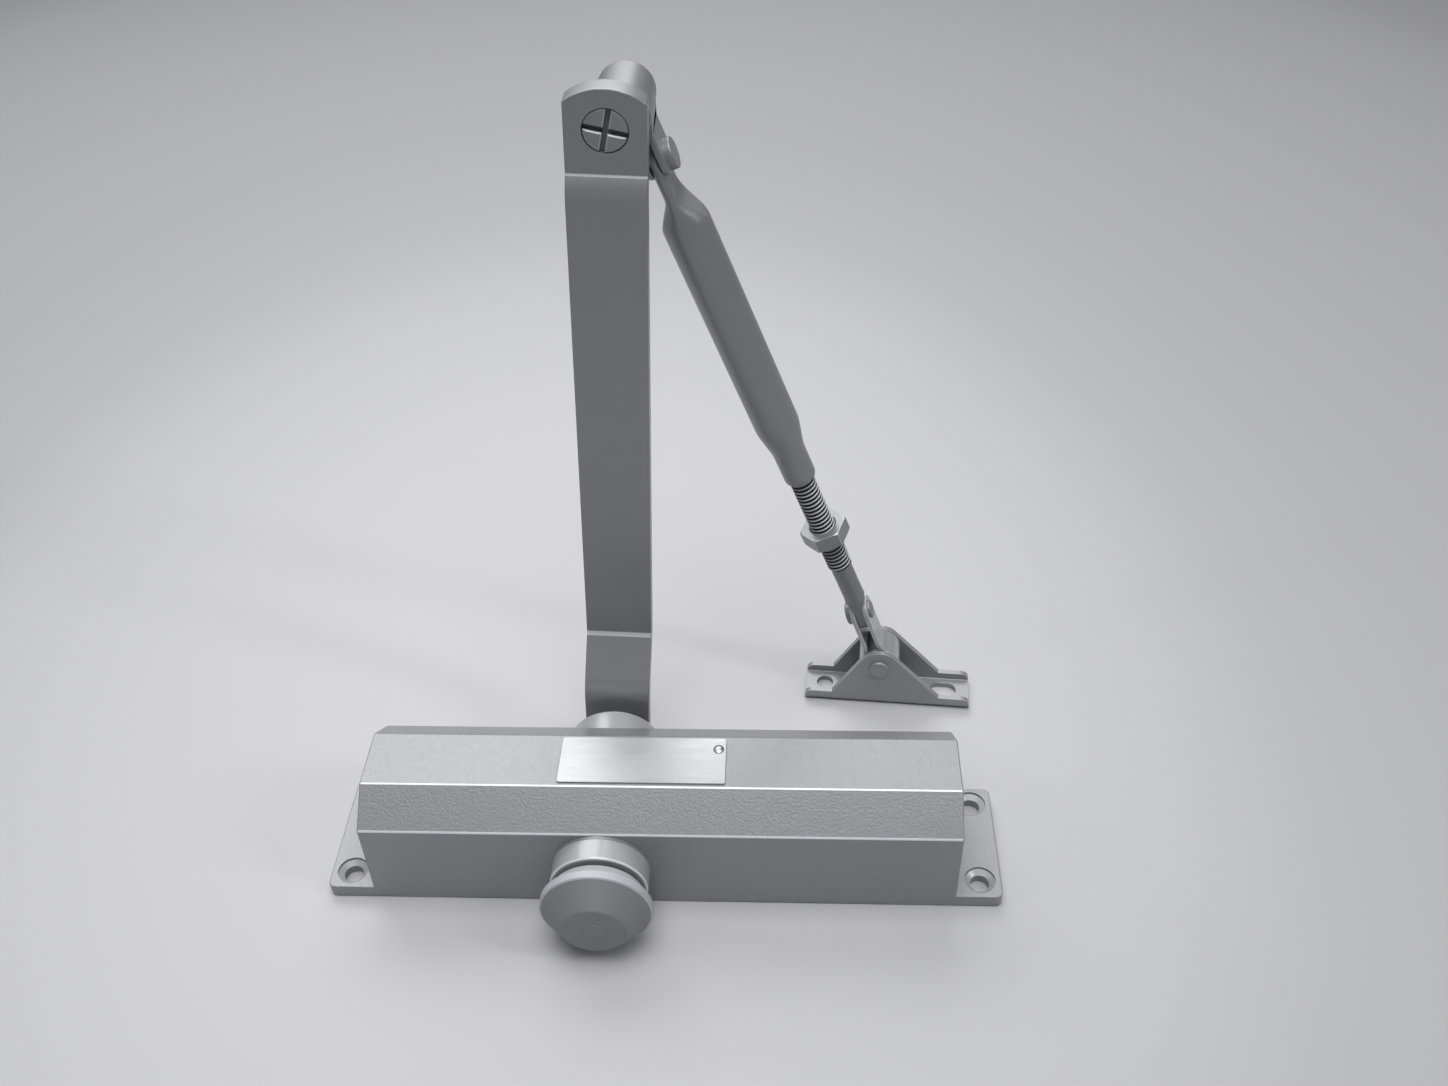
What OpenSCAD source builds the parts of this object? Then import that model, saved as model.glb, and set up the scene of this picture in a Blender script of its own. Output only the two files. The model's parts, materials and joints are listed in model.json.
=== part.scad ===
// Overhead door closer: a rack and pinion body, a jointed arm and a foot bracket.
// X runs along the body, Y towards the arm side and Z away from the mounting face.
// The origin is the centre of the four fixing holes, on the mounting face.

/* [Body] */
// Length of the cast body between its flanges
body_l = 207; // [200:1:230]
// Width of the body and its flanges
body_w = 48.4; // [47:0.2:56]
// Height of the flat top facet above the mounting face
body_h = 47.6; // [47:0.2:54]
// Height of the upright sides, below the sloping facets
side_h = 37.3; // [30:0.1:40]
// Width of the flat top facet
top_w = 22.6; // [21.6:0.2:30]
// Reach of each flange past the body
flange_out = 16.5; // [14:0.5:26]
// Thickness of the flanges
flange_t = 5.4; // [4:0.1:8]
// Corner radius of the flanges
flange_r = 2; // [1:0.5:6]

/* [Fixing holes] */
// Distance of the fixing holes from the flange's end
hole_end = 7.5; // [7:0.5:10]
// Distance between the fixing holes across the body
hole_dy = 34; // [26:1:36]
// Diameter of a fixing hole
hole_d = 6.9; // [5:0.1:7.5]
// Diameter of the countersink at the flange face
sink_d = 11; // [9:0.2:12]
// Depth of the countersink
sink_t = 2.2; // [1:0.1:3.5]

/* [Cylinder] */
// Diameter of the main bore
bore_d = 34; // [31:0.5:35]
// Height of the main bore's axis
bore_z = 21; // [20.5:0.1:23]
// Diameter of the threaded seat of each end plug
seat_d = 37; // [36:0.5:38]
// Length of the threaded seat of each end plug
seat_l = 10; // [8:0.5:12]
// Length of the plug's spigot in the bore
spigot_l = 6; // [5:0.5:8]
// Width across the flats of the socket in each end plug
plug_key = 12; // [8:1:16]
// Section diameter of the plug's ring seal
plug_ring = 2.4; // [2:0.1:3]

/* [Spindle] */
// Distance of the spindle from the middle of the body, towards its short end
spindle_x = 20.6; // [15:0.5:24]
// Height of the spindle's axis
spindle_z = 19.6; // [19.6:0.1:20.6]
// Diameter of the spindle's journals
journal_d = 16; // [14:0.5:16.5]
// Width across the flats of the spindle's square ends
square_w = 11; // [9:0.5:11.5]
// Number of pinion teeth
pinion_z = 12; // [12:1:12]
// Module of the pinion and the rack
gear_m = 1.6; // [1.5:0.05:1.65]
// Width of the pinion's teeth
pinion_w = 24; // [18:1:26]

/* [Bearing collars] */
// Outer diameter of the collars
collar_d = 34; // [32:0.5:36]
// How far the collars stand out of the body
collar_out = 9.2; // [7:0.2:11]
// Diameter of the threaded part of a collar, inside the body's wall
collar_thread_d = 28; // [26:0.5:29]
// Outer diameter of the needle bearings
bearing_d = 23; // [21.5:0.5:24]
// Length of the needle bearings
bearing_l = 10; // [7:0.5:10]
// Diameter of a bearing needle
needle_d = 2.2; // [1.5:0.1:2.4]
// Number of needles in a bearing
needle_n = 16; // [8:1:18]
// Outer diameter of the shaft seals
seal_d = 22; // [20.5:0.5:24]
// Length of the shaft seals
seal_l = 3.2; // [2:0.1:3.6]

/* [Spindle cap] */
// Largest diameter of the cap
cap_d = 38.8; // [34:0.2:38.8]
// Diameter of the cap at its back edge
cap_back_d = 31.7; // [28:0.2:34]
// Diameter of the flat disc on the cap's face
cap_disc_d = 22.6; // [16:0.2:28]
// Length of the flared side of the cap
cap_side_l = 7.8; // [5:0.2:12]
// Distance from the cap's back edge to its widest rim
cap_rim_at = 4.8; // [3:0.1:4.8]
// Length of the cap's conical face
cap_cone_l = 8.2; // [3:0.2:12]
// Gap between the front collar and the cap
cap_gap = 1.4; // [0.6:0.1:3]
// Diameter of the low round boss on the disc
boss_d = 7.6; // [4:0.2:12]

/* [Piston] */
// Length of the piston's head on the short side
head_l = 12; // [8:0.5:14]
// Length of the piston's head on the spring side
spring_head_l = 11; // [8:0.5:14]
// Diameter of the check valve's ball
ball_d = 5; // [4:0.2:6]

/* [Main spring] */
// Wire diameter of the main spring
wire_d = 4.2; // [3:0.1:4.6]
// Mean diameter of the main spring's coils
coil_d = 25.2; // [20:0.2:26]
// Number of coils
coil_n = 9; // [6:1:10]
// Thickness of the spring's seat disc
spring_seat_t = 3; // [2:0.5:5]

/* [Speed valves] */
// Diameter of the speed valves
valve_d = 5.2; // [4:0.1:5.4]
// Length of the speed valves
valve_l = 20; // [14:1:26]
// Distance between the two speed valves
valve_dy = 13; // [8:0.5:14]
// Height of the speed valves
valve_z = 43.4; // [43:0.1:43.8]

/* [Name plate] */
// Length of the blank name plate
plate_l = 58; // [40:1:80]
// Width of the blank name plate
plate_w = 20.4; // [12:0.2:21.4]
// Thickness of the blank name plate
plate_t = 0.6; // [0.4:0.1:1.2]
// Middle of the plate along the body
plate_x = -6.4; // [-20:0.2:20]
// Diameter of the plate's rivet head
plate_rivet_d = 3.8; // [2.5:0.1:5]
// Distance of the plate's rivet from the plate's end
plate_rivet_in = 2.7; // [2.5:0.1:6]

/* [Main arm] */
// Distance from the spindle to the elbow
arm_reach = 233.4; // [200:0.2:240]
// Lean of the arm from upright, towards the long end of the body
arm_lean = 2.8; // [0:0.1:10]
// Width of the arm
arm_w = 24; // [22.6:0.2:27]
// Thickness of the arm
arm_t = 7; // [6:0.5:8]
// Distance from the rear collar to the arm
arm_gap = 5.1; // [1:0.1:8]
// Offset of the lower joggle
joggle = 14; // [6:0.5:20]
// Length over which the lower joggle rises
joggle_l = 17; // [10:0.5:20]
// Where the lower joggle starts, above the spindle
joggle_z = 20; // [18:0.5:40]
// Offset of the upper joggle
top_joggle = 3; // [1:0.5:6]
// Length over which the upper joggle rises
top_joggle_l = 5; // [4:0.5:14]
// Distance from the elbow to the end of the arm
arm_over = 12.4; // [10:0.2:14]
// Radius of the arm's upper end
arm_end_r = 19; // [14:0.5:30]

/* [Arm screw] */
// Diameter of the screw that holds the arm on the spindle
arm_screw_d = 6; // [5:0.5:6.5]
// Length of the arm screw in the spindle
arm_screw_l = 15; // [10:1:18]
// Diameter of that screw's head
arm_head_d = 11; // [9:0.5:14]
// Height of that screw's head
arm_head_h = 5; // [3:0.5:7]
// Outer diameter of the washer under that screw
arm_washer_d = 18; // [15.5:0.5:22]
// Thickness of that washer
arm_washer_t = 1.8; // [1:0.1:3]

/* [Elbow] */
// Diameter of the flush elbow screw's head
elbow_head_d = 13.3; // [11.2:0.1:16]
// Depth of the flush head
elbow_head_t = 3.4; // [2.5:0.1:4.5]
// Diameter of the elbow screw's bearing shank
elbow_pin_d = 10; // [8.6:0.1:10.4]
// Diameter of the elbow screw's threaded end
elbow_thread_d = 8; // [6:0.1:8]
// Width of the crossed slots
slot_w = 1.5; // [1:0.1:2.5]
// Depth of the crossed slots
slot_t = 1.9; // [0.8:0.1:2]
// Thickness of the elbow washer
elbow_washer_t = 0.8; // [0.5:0.1:2]
// Diameter of the knuckle's barrel
barrel_d = 17.8; // [17:0.2:22]
// Length of the knuckle's barrel
barrel_l = 22.4; // [18:0.2:26]
// How far the barrel's middle lies beside the elbow screw
barrel_off = 3.6; // [1:0.1:4]
// Distance from the barrel's front to the middle of the fork
fork_at = 10.4; // [9.5:0.1:12]
// Distance from the elbow screw to the elbow rivet, along the forearm
fork_drop = 20; // [19:0.2:26]
// Distance from the elbow screw to the elbow rivet, across the forearm
fork_side = 6.1; // [4:0.1:8]
// Thickness of each fork cheek
cheek_t = 1.8; // [1.5:0.1:3.5]
// Distance from the elbow rivet to the end of the fork cheeks
cheek_end = 4.8; // [4.5:0.1:7.5]
// Diameter of the elbow rivet
elbow_rivet_d = 6; // [4:0.1:8]
// Diameter of the elbow rivet's head
elbow_rivet_head_d = 9.8; // [8.5:0.1:13]
// Height of the elbow rivet's head
elbow_rivet_h = 2.3; // [1:0.1:4]

/* [Forearm tube] */
// Distance from the elbow rivet to the tube's mouth
tube_l = 132.2; // [110:0.2:160]
// Outer diameter of the tube
tube_d = 15.8; // [15:0.1:17]
// Wall of the tube
tube_wall = 1.6; // [1.2:0.1:2]
// Outer diameter of the drawn-in neck
neck_d = 11.7; // [11.4:0.1:14]
// Length of the neck
neck_l = 14.6; // [10:0.1:30]
// Length of the cone between neck and tube
cone_l = 9.8; // [8:0.1:24]
// Distance from the elbow rivet to where the round tube ends
flat_from = 23; // [18:0.5:30]
// Distance from the elbow rivet to the end of the flat tongue
flat_to = 10.6; // [9.4:0.2:13]
// Width of the flat tongue
tongue_w = 16; // [14:0.2:17]

/* [Adjusting rod] */
// Distance from the tube's mouth to the rod's rivet
rod_out = 72.6; // [66:0.2:90]
// Diameter over the thread
thread_d = 9.4; // [8.6:0.1:9.6]
// Pitch of the thread's ridges
pitch = 1.75; // [1.25:0.05:2.5]
// Depth of the thread's ridges
thread_t = 0.95; // [0.6:0.05:1.2]
// Distance from the rod's rivet to the start of the thread
thread_from = 26; // [20:0.5:32]
// Length of the rod inside the tube
rod_in = 45; // [34:1:60]
// Diameter of the plain shank
shank_d = 8.1; // [7.5:0.1:9]
// Thickness of the flattened eye
eye_t = 3.4; // [2.5:0.1:4.5]
// Width of the flattened eye
eye_w = 9.2; // [8.4:0.1:9.9]
// Distance from the rod's rivet to the end of the eye
eye_end = 7.6; // [6:0.1:8.4]
// Length of the taper from the eye to the shank
eye_taper = 3.2; // [2.5:0.1:7]

/* [Lock nut] */
// Width across the flats of the nut
nut_af = 15.6; // [14.5:0.5:18]
// Thickness of the nut
nut_t = 6; // [4:0.2:9]
// Chamfer at the nut's corners
nut_edge = 0.5; // [0.3:0.1:1.2]
// Distance from the rod's rivet to the middle of the nut
nut_at = 45; // [38:0.5:52]
// Turn of the nut on the rod
nut_turn = 12; // [0:1:59]

/* [Link strap] */
// Distance from the bracket's rivet to the rod's rivet
link_l = 24.9; // [23:0.2:30]
// Width of the strap
strap_w = 11.8; // [8:0.1:14]
// Thickness of the strap
strap_t = 1.6; // [1.2:0.1:2.4]
// Outer diameter of the loop around the sleeve
loop_d = 16; // [15:0.2:19]
// Radius of the flare between neck and loop
flare_r = 8; // [5:0.5:12]
// Distance from the rod's rivet to the strap's open end
strap_over = 5.6; // [5:0.1:6.4]
// Diameter of the rod's rivet
rod_rivet_d = 5; // [4:0.1:6]
// Diameter of the rod rivet's head
rod_head_d = 9; // [7:0.1:9.6]
// Height of the rod rivet's head
rod_head_h = 3.4; // [1:0.1:4]
// Diameter of the rod rivet's formed end
rod_end_d = 6.8; // [6.2:0.1:9]
// Height of the rod rivet's formed end
rod_end_h = 1; // [0.5:0.1:2.5]

/* [Foot bracket] */
// Length of the bracket
foot_l = 66.2; // [62:0.2:80]
// Thickness of the bracket's sheet
foot_t = 2.2; // [1.5:0.1:3]
// Height of the bracket's rivet above its base
pivot_h = 20; // [18:0.1:26]
// Distance from the bracket's left end to its rivet
pivot_at = 29.2; // [28:0.5:34]
// Radius of the bracket's cheeks around the rivet
foot_r = 8.2; // [7:0.1:10]
// Height of the low lips beside the cheeks
lip_h = 5.3; // [4:0.1:8]
// Length of the left lip
lip_left = 10.9; // [6:0.1:14]
// Length of the right lip
lip_right = 12.4; // [6:0.1:16]
// Distance from the left end to the round hole
foot_hole_at = 7.8; // [6:0.1:9]
// Diameter of the round hole and width of the slot
foot_hole_d = 6.7; // [4:0.1:7.2]
// Distance from the round hole to the middle of the slot
foot_slot_dx = 47.9; // [46:0.1:50]
// Length of the slot
foot_slot_l = 10.8; // [8:0.1:12]
// Turn of the bracket away from the body's direction
foot_turn = 4.4; // [0:0.1:10]
// Diameter of the bracket's rivet
pivot_d = 6; // [4:0.1:8]
// Diameter of the bracket rivet's head
pivot_head_d = 8; // [7.2:0.1:10]
// Height of the bracket rivet's head
pivot_head_h = 1.2; // [0.6:0.1:2.5]
// Pitch of the ribs on the sleeve
rib_pitch = 1.7; // [1.2:0.1:2.5]
// Depth of the ribs on the sleeve
rib_t = 0.7; // [0.3:0.1:1.2]

/* [Forearm pose] */
// Sideways tilt of the forearm at the elbow rivet
forearm_tilt = 1.98; // [0:0.01:5]

/* [Fits] */
// Radial clearance of a running or sliding fit
run = 0.05; // [0.02:0.01:0.1]
// Clearance between faces that must not rub
gap = 0.15; // [0.1:0.05:0.3]
// Backlash between rack and pinion
backlash = 0.16; // [0.08:0.02:0.4]

/* [Hidden] */
$fn = 64;
eps = 0.01;
far = 200;

paint = "#9a9ca0";
paint_dark = "#7d8084";
steel = "#b9bcc0";
bright = "#d8dadd";
rubber = "#2a2b2d";

// Pinion and rack
pressure = 25;
pitch_r = gear_m * pinion_z / 2;
base_r = pitch_r * cos(pressure);
tip_r = pitch_r + 0.95 * gear_m;
root_r = pitch_r - 1.25 * gear_m;
tooth_p = PI * gear_m;
swing = 180;
travel = pitch_r * swing * PI / 180;
rack_z = spindle_z + pitch_r;
rack_tip_z = rack_z - 0.9 * gear_m;
rack_root_z = rack_z + 1.25 * gear_m;

// Places along the body
sx = -spindle_x;
end_x = body_l / 2;
plug_in_x = end_x - seat_l - spigot_l;
slot_x0 = sx - travel - tip_r - 1;
slot_x1 = sx + tip_r + 1;
piston_x0 = slot_x0 - head_l;
piston_x1 = slot_x1 + spring_head_l;
spring_x0 = piston_x1 + gap;
spring_x1 = plug_in_x - spring_seat_t - 2 * gap;

// Places across the body
wall_y = body_w / 2;
flange_l = body_l + 2 * flange_out;
hole_dx = flange_l - 2 * hole_end;
collar_y = wall_y + collar_out;
inner_y = bore_d / 2 + 0.3;
bearing_y = inner_y + gap;
seal_y = bearing_y + bearing_l + gap;
cap_y = -collar_y - cap_gap;
cap_rim_y = cap_y - cap_side_l;
cap_face_y = cap_rim_y - cap_cone_l;
arm_y = collar_y + arm_gap;
arm_back = arm_y + arm_t;
top_arm_y = arm_y + joggle + top_joggle;
top_arm_back = top_arm_y + arm_t;
square_l = arm_t - 0.5;

// Elbow and forearm, in the plane across the spindle
elbow = [sx + arm_reach * sin(arm_lean), spindle_z + arm_reach * cos(arm_lean)];
barrel_y = top_arm_back + elbow_washer_t + 2 * gap;
fork_y = barrel_y + fork_at;
tongue_t = 2 * tube_wall;
fork_slot = tongue_t + 2 * gap;
fork_t = fork_slot + 2 * cheek_t;
cheek_r = tongue_w / 2;
forearm_l = tube_l + rod_out;
head_recess = elbow_head_t + gap;

// Lean of the forearm that lets the bracket stand on the floor plane
forearm_guess = 20;
function off_plane(a) =
    cos(forearm_tilt) * sin(a) * sin(foot_turn) + sin(forearm_tilt) * cos(foot_turn);
function chain_drop(a) =
    fork_drop + cos(forearm_tilt) * (forearm_l + link_l / sqrt(1 - pow(off_plane(a), 2)));
function foot_share(a) = (elbow[1] - pivot_h) / norm([chain_drop(a), fork_side]);
function lean_for(a) =
    (foot_share(a) < 1 ? acos(foot_share(a)) : 0) - atan2(fork_side, chain_drop(a));
function settle(a, n) = n == 0 ? a : settle(lean_for(a), n - 1);
forearm_lean = settle(forearm_guess, 8);

// Unit vectors and points of the forearm and link
along = [sin(forearm_lean), 0, -cos(forearm_lean)];
across = [cos(forearm_lean), 0, sin(forearm_lean)];
forearm_dir = [
    cos(forearm_tilt) * along[0],
    sin(forearm_tilt),
    cos(forearm_tilt) * along[2]
];
foot_dir = [cos(foot_turn), -sin(foot_turn), 0];
foot_axis = [sin(foot_turn), cos(foot_turn), 0];
link_lean = atan2(forearm_dir * foot_dir, -forearm_dir[2]);
link_dir = sin(link_lean) * foot_dir - [0, 0, cos(link_lean)];
link_across = cos(link_lean) * foot_dir + [0, 0, sin(link_lean)];
rivet_p = [elbow[0], fork_y, elbow[1]] + fork_drop * along + fork_side * across;
rod_p = rivet_p + forearm_l * forearm_dir;
pivot_p = rod_p + link_l * link_dir;
tube_up = [
    -sin(forearm_tilt) * sin(forearm_lean),
    cos(forearm_tilt),
    sin(forearm_tilt) * cos(forearm_lean)
];
rod_twist = atan2(link_across * tube_up, link_across * across);

// Strap and bracket
neck_in = eye_t / 2 + gap;
neck_out = neck_in + strap_t;
loop_r = loop_d / 2;
sleeve_r = loop_r - strap_t - run;
flare_x = neck_out + flare_r;
flare_z = sqrt(pow(loop_r + flare_r, 2) - flare_x * flare_x);
sleeve_l = strap_w + 2 * gap;
foot_in = sleeve_l + 2 * eps;
foot_w = foot_in + 2 * foot_t;

// Frames
module at_spindle() {
    translate([sx, 0, spindle_z])
        children();
}

module along_y(from) {
    translate([0, from, 0])
        rotate([-90, 0, 0])
            children();
}

module along_x(from) {
    translate([from, 0, 0])
        rotate([0, 90, 0])
            children();
}

module at_arm() {
    at_spindle()
        rotate([0, arm_lean, 0])
            children();
}

module at_elbow() {
    translate([elbow[0], 0, elbow[1]])
        children();
}

module at_fork() {
    translate(rivet_p)
        rotate([0, -forearm_lean, 0])
            children();
}

module at_forearm() {
    at_fork()
        rotate([forearm_tilt, 0, 0])
            children();
}

module at_rod() {
    at_forearm()
        translate([0, 0, -forearm_l])
            rotate([0, 0, rod_twist])
                children();
}

module at_link() {
    translate(rod_p)
        rotate([0, 0, -foot_turn])
            rotate([0, -link_lean, 0])
                children();
}

module at_foot() {
    translate(pivot_p)
        rotate([0, 0, -foot_turn])
            children();
}

// A ring or tube along Z
module ring(r_out, r_in, h) {
    difference() {
        cylinder(r = r_out, h = h);
        translate([0, 0, -eps])
            cylinder(r = r_in, h = h + 2 * eps);
    }
}

// A cylinder along Z with a bevel at its upper edge
module bevelled(r, h, b) {
    rotate_extrude()
        polygon([[0, 0], [r, 0], [r, h - b], [r - b, h], [0, h]]);
}

// An outline in the XZ plane, extruded along Y from one place to another
module across_body(y0, y1) {
    translate([0, y1, 0])
        rotate([90, 0, 0])
            linear_extrude(y1 - y0)
                children();
}

// Housing
module body_section() {
    polygon([
        [-body_w / 2, 0], [body_w / 2, 0], [body_w / 2, side_h],
        [top_w / 2, body_h], [-top_w / 2, body_h], [-body_w / 2, side_h]
    ]);
}

module flange_outline() {
    x = flange_l / 2 - flange_r;
    y = body_w / 2 - flange_r;
    square([flange_l, 2 * y], center = true);
    square([2 * x, body_w], center = true);
    for (i = [-1, 1], j = [-1, 1])
        translate([i * x, j * y])
            circle(flange_r);
}

module fixing_hole() {
    translate([0, 0, -eps])
        cylinder(d = hole_d, h = flange_t + 2 * eps);
    translate([0, 0, flange_t - sink_t])
        cylinder(d1 = hole_d, d2 = sink_d + eps, h = sink_t + eps);
    translate([0, 0, flange_t])
        cylinder(d = sink_d, h = far);
}

module valve_duct(side, port_x) {
    depth = valve_l + 1;
    duct_r = 1.2;
    translate([0, side * valve_dy / 2, 0]) {
        translate([0, 0, valve_z])
            along_x(-end_x - eps)
                cylinder(d = valve_d + 2 * run, h = depth + eps);
        translate([0, 0, valve_z])
            along_x(-end_x + depth - eps)
                cylinder(r = duct_r, h = port_x + end_x - depth + duct_r);
        for (x = [-end_x + depth - duct_r - 1, port_x])
            translate([x, 0, bore_z])
                cylinder(r = duct_r, h = valve_z - bore_z);
    }
}

module housing() {
    color(paint)
        difference() {
            union() {
                rotate([90, 0, 90])
                    linear_extrude(body_l, center = true)
                        body_section();
                linear_extrude(flange_t)
                    flange_outline();
            }
            translate([0, 0, bore_z])
                along_x(-end_x - eps)
                    cylinder(d = bore_d, h = body_l + 2 * eps);
            for (x = [-end_x - eps, end_x - seat_l])
                translate([0, 0, bore_z])
                    along_x(x)
                        cylinder(d = seat_d, h = seat_l + eps);
            at_spindle()
                along_y(-wall_y - eps)
                    cylinder(d = collar_thread_d, h = body_w + 2 * eps);
            for (i = [-1, 1], j = [-1, 1])
                translate([i * hole_dx / 2, j * hole_dy / 2, 0])
                    fixing_hole();
            valve_duct(-1, slot_x1 + 6);
            valve_duct(1, slot_x1 + 12);
            translate([plate_x + plate_l / 2 - plate_rivet_in, plate_w / 4, body_h - 5])
                cylinder(d = plate_rivet_d / 2 + 2 * run, h = 5 + eps);
        }
}

// End plugs, each with a spigot and a ring seal
module end_plug() {
    groove_w = plug_ring * 1.1;
    groove_r = bore_d / 2 - plug_ring;
    difference() {
        rotate_extrude()
            polygon([
                [0, 0], [seat_d / 2 - run - 0.8, 0], [seat_d / 2 - run, 0.8],
                [seat_d / 2 - run, seat_l - run], [bore_d / 2 - run, seat_l - run],
                [bore_d / 2 - run, seat_l + 1.5], [groove_r, seat_l + 1.5],
                [groove_r, seat_l + 1.5 + groove_w], [bore_d / 2 - run, seat_l + 1.5 + groove_w],
                [bore_d / 2 - run, seat_l + spigot_l], [0, seat_l + spigot_l]
            ]);
        translate([0, 0, -eps])
            cylinder(d = plug_key / cos(30), h = 6, $fn = 6);
    }
}

module plug_seal() {
    translate([0, 0, seat_l + 1.5 + plug_ring * 0.55])
        rotate_extrude()
            translate([(bore_d - plug_ring) / 2, 0])
                circle(d = plug_ring - 2 * run, $fn = 24);
}

module at_left_end() {
    translate([-end_x, 0, bore_z])
        rotate([0, 90, 0])
            children();
}

module at_right_end() {
    translate([end_x, 0, bore_z])
        rotate([0, -90, 0])
            children();
}

module left_end_plug() {
    color(steel)
        at_left_end()
            end_plug();
}

module right_end_plug() {
    color(steel)
        at_right_end()
            end_plug();
}

module left_plug_ring() {
    color(rubber)
        at_left_end()
            plug_seal();
}

module right_plug_ring() {
    color(rubber)
        at_right_end()
            plug_seal();
}

// Bearing collars with their bearings and seals, on the +Y side
module collar() {
    r = collar_d / 2;
    edge = 0.7;
    lip_r = journal_d / 2 + 0.6;
    at_spindle()
        along_y(0)
            rotate_extrude()
                polygon([
                    [bearing_d / 2, inner_y], [collar_thread_d / 2 - run, inner_y],
                    [collar_thread_d / 2 - run, wall_y + eps], [r, wall_y + eps],
                    [r, collar_y - edge], [r - edge, collar_y], [lip_r, collar_y],
                    [lip_r, seal_y + seal_l + gap], [seal_d / 2, seal_y + seal_l + gap],
                    [seal_d / 2, seal_y - gap / 2], [bearing_d / 2, seal_y - gap / 2]
                ]);
}

module bearing() {
    needle_r = needle_d / 2;
    path_r = journal_d / 2 + run + needle_r;
    at_spindle()
        along_y(bearing_y) {
            ring(bearing_d / 2 - run, path_r + needle_r + run, bearing_l);
            for (i = [0:needle_n - 1])
                rotate([0, 0, i * 360 / needle_n])
                    translate([path_r, 0, gap])
                        cylinder(r = needle_r, h = bearing_l - 2 * gap, $fn = 24);
        }
}

module shaft_seal() {
    at_spindle()
        along_y(seal_y)
            ring(seal_d / 2 - run, journal_d / 2 + run, seal_l);
}

module front_collar() {
    color(bright)
        mirror([0, 1, 0])
            collar();
}

module rear_collar() {
    color(bright)
        collar();
}

module front_bearing() {
    color(steel)
        mirror([0, 1, 0])
            bearing();
}

module rear_bearing() {
    color(steel)
        bearing();
}

module front_seal() {
    color(rubber)
        mirror([0, 1, 0])
            shaft_seal();
}

module rear_seal() {
    color(rubber)
        shaft_seal();
}

// Speed valves, screwed in from the short end
valve_groove = 0.8;
valve_groove_at = 4;

module valve() {
    r = valve_d / 2;
    tip = 4;
    difference() {
        rotate_extrude()
            polygon([
                [0, 0], [r, 0], [r, valve_groove_at], [r - valve_groove, valve_groove_at],
                [r - valve_groove, valve_groove_at + 1], [r, valve_groove_at + 1],
                [r, valve_l - tip], [0.4, valve_l], [0, valve_l]
            ]);
        translate([-valve_d, -0.4, -eps])
            cube([2 * valve_d, 0.8, 1.2]);
    }
}

module at_valve(side) {
    translate([-end_x + 0.3, side * valve_dy / 2, valve_z])
        rotate([0, 90, 0])
            children();
}

module closing_valve() {
    color(steel)
        at_valve(-1)
            valve();
}

module latching_valve() {
    color(steel)
        at_valve(1)
            valve();
}

module valve_rings() {
    section = valve_groove - run;
    color(rubber)
        for (side = [-1, 1])
            at_valve(side)
                translate([0, 0, valve_groove_at + 0.5])
                    rotate_extrude()
                        translate([valve_d / 2 - valve_groove / 2 + run / 2, 0])
                            circle(d = section, $fn = 16);
}

// Blank name plate and its rivet
module at_plate_rivet() {
    translate([plate_x + plate_l / 2 - plate_rivet_in, plate_w / 4, body_h])
        children();
}

module name_plate() {
    color(bright)
        difference() {
            translate([plate_x - plate_l / 2, -plate_w / 2, body_h])
                cube([plate_l, plate_w, plate_t]);
            at_plate_rivet()
                translate([0, 0, -eps])
                    cylinder(d = plate_rivet_d / 2 + 2 * run, h = plate_t + 2 * eps);
        }
}

module plate_rivet() {
    color(steel)
        at_plate_rivet() {
            translate([0, 0, -4.5])
                cylinder(d = plate_rivet_d / 2, h = 4.5 + plate_t + eps);
            translate([0, 0, plate_t])
                bevelled(plate_rivet_d / 2, 0.8, 0.4);
        }
}

// Main spring, swept ring by ring
function coil_ring(t, n, r, l, wire, sides) = [
    for (k = [0:sides - 1])
        let (a = 360 * n * t, b = 360 * k / sides, q = r + wire / 2 * cos(b))
            [wire / 2 + t * (l - wire) + wire / 2 * sin(b), q * cos(a), q * sin(a)]
];

module coil(n, r, l, wire, sides = 6, steps = 8) {
    rings = n * steps;
    points = [for (i = [0:rings]) each coil_ring(i / rings, n, r, l, wire, sides)];
    walls = [
        for (i = [0:rings - 1], k = [0:sides - 1])
            let (a = i * sides + k, b = i * sides + (k + 1) % sides)
                each [[a, b, b + sides], [a, b + sides, a + sides]]
    ];
    start = [for (k = [1:sides - 2]) [0, k + 1, k]];
    last = rings * sides;
    end = [for (k = [1:sides - 2]) [last, last + k, last + k + 1]];
    polyhedron(points, concat(walls, start, end));
}

module main_spring() {
    color(steel)
        translate([spring_x0, 0, bore_z])
            coil(coil_n, coil_d / 2, spring_x1 - spring_x0, wire_d);
    coil_gap = (spring_x1 - spring_x0 - wire_d) / coil_n - wire_d;
    echo(least_gap_between_coils = coil_gap);
}

module spring_seat() {
    color(steel)
        translate([0, 0, bore_z])
            along_x(spring_x1 + gap)
                ring(coil_d / 2 + wire_d / 2, 4, spring_seat_t);
}

// Piston with its rack
module rack_space() {
    half = tooth_p / 4 + backlash / 2;
    slope = tan(pressure);
    low = rack_z - rack_tip_z + eps;
    high = rack_root_z - rack_z;
    polygon([
        [-half - low * slope, rack_tip_z - eps], [half + low * slope, rack_tip_z - eps],
        [half - high * slope, rack_root_z], [-half + high * slope, rack_root_z]
    ]);
}

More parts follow.
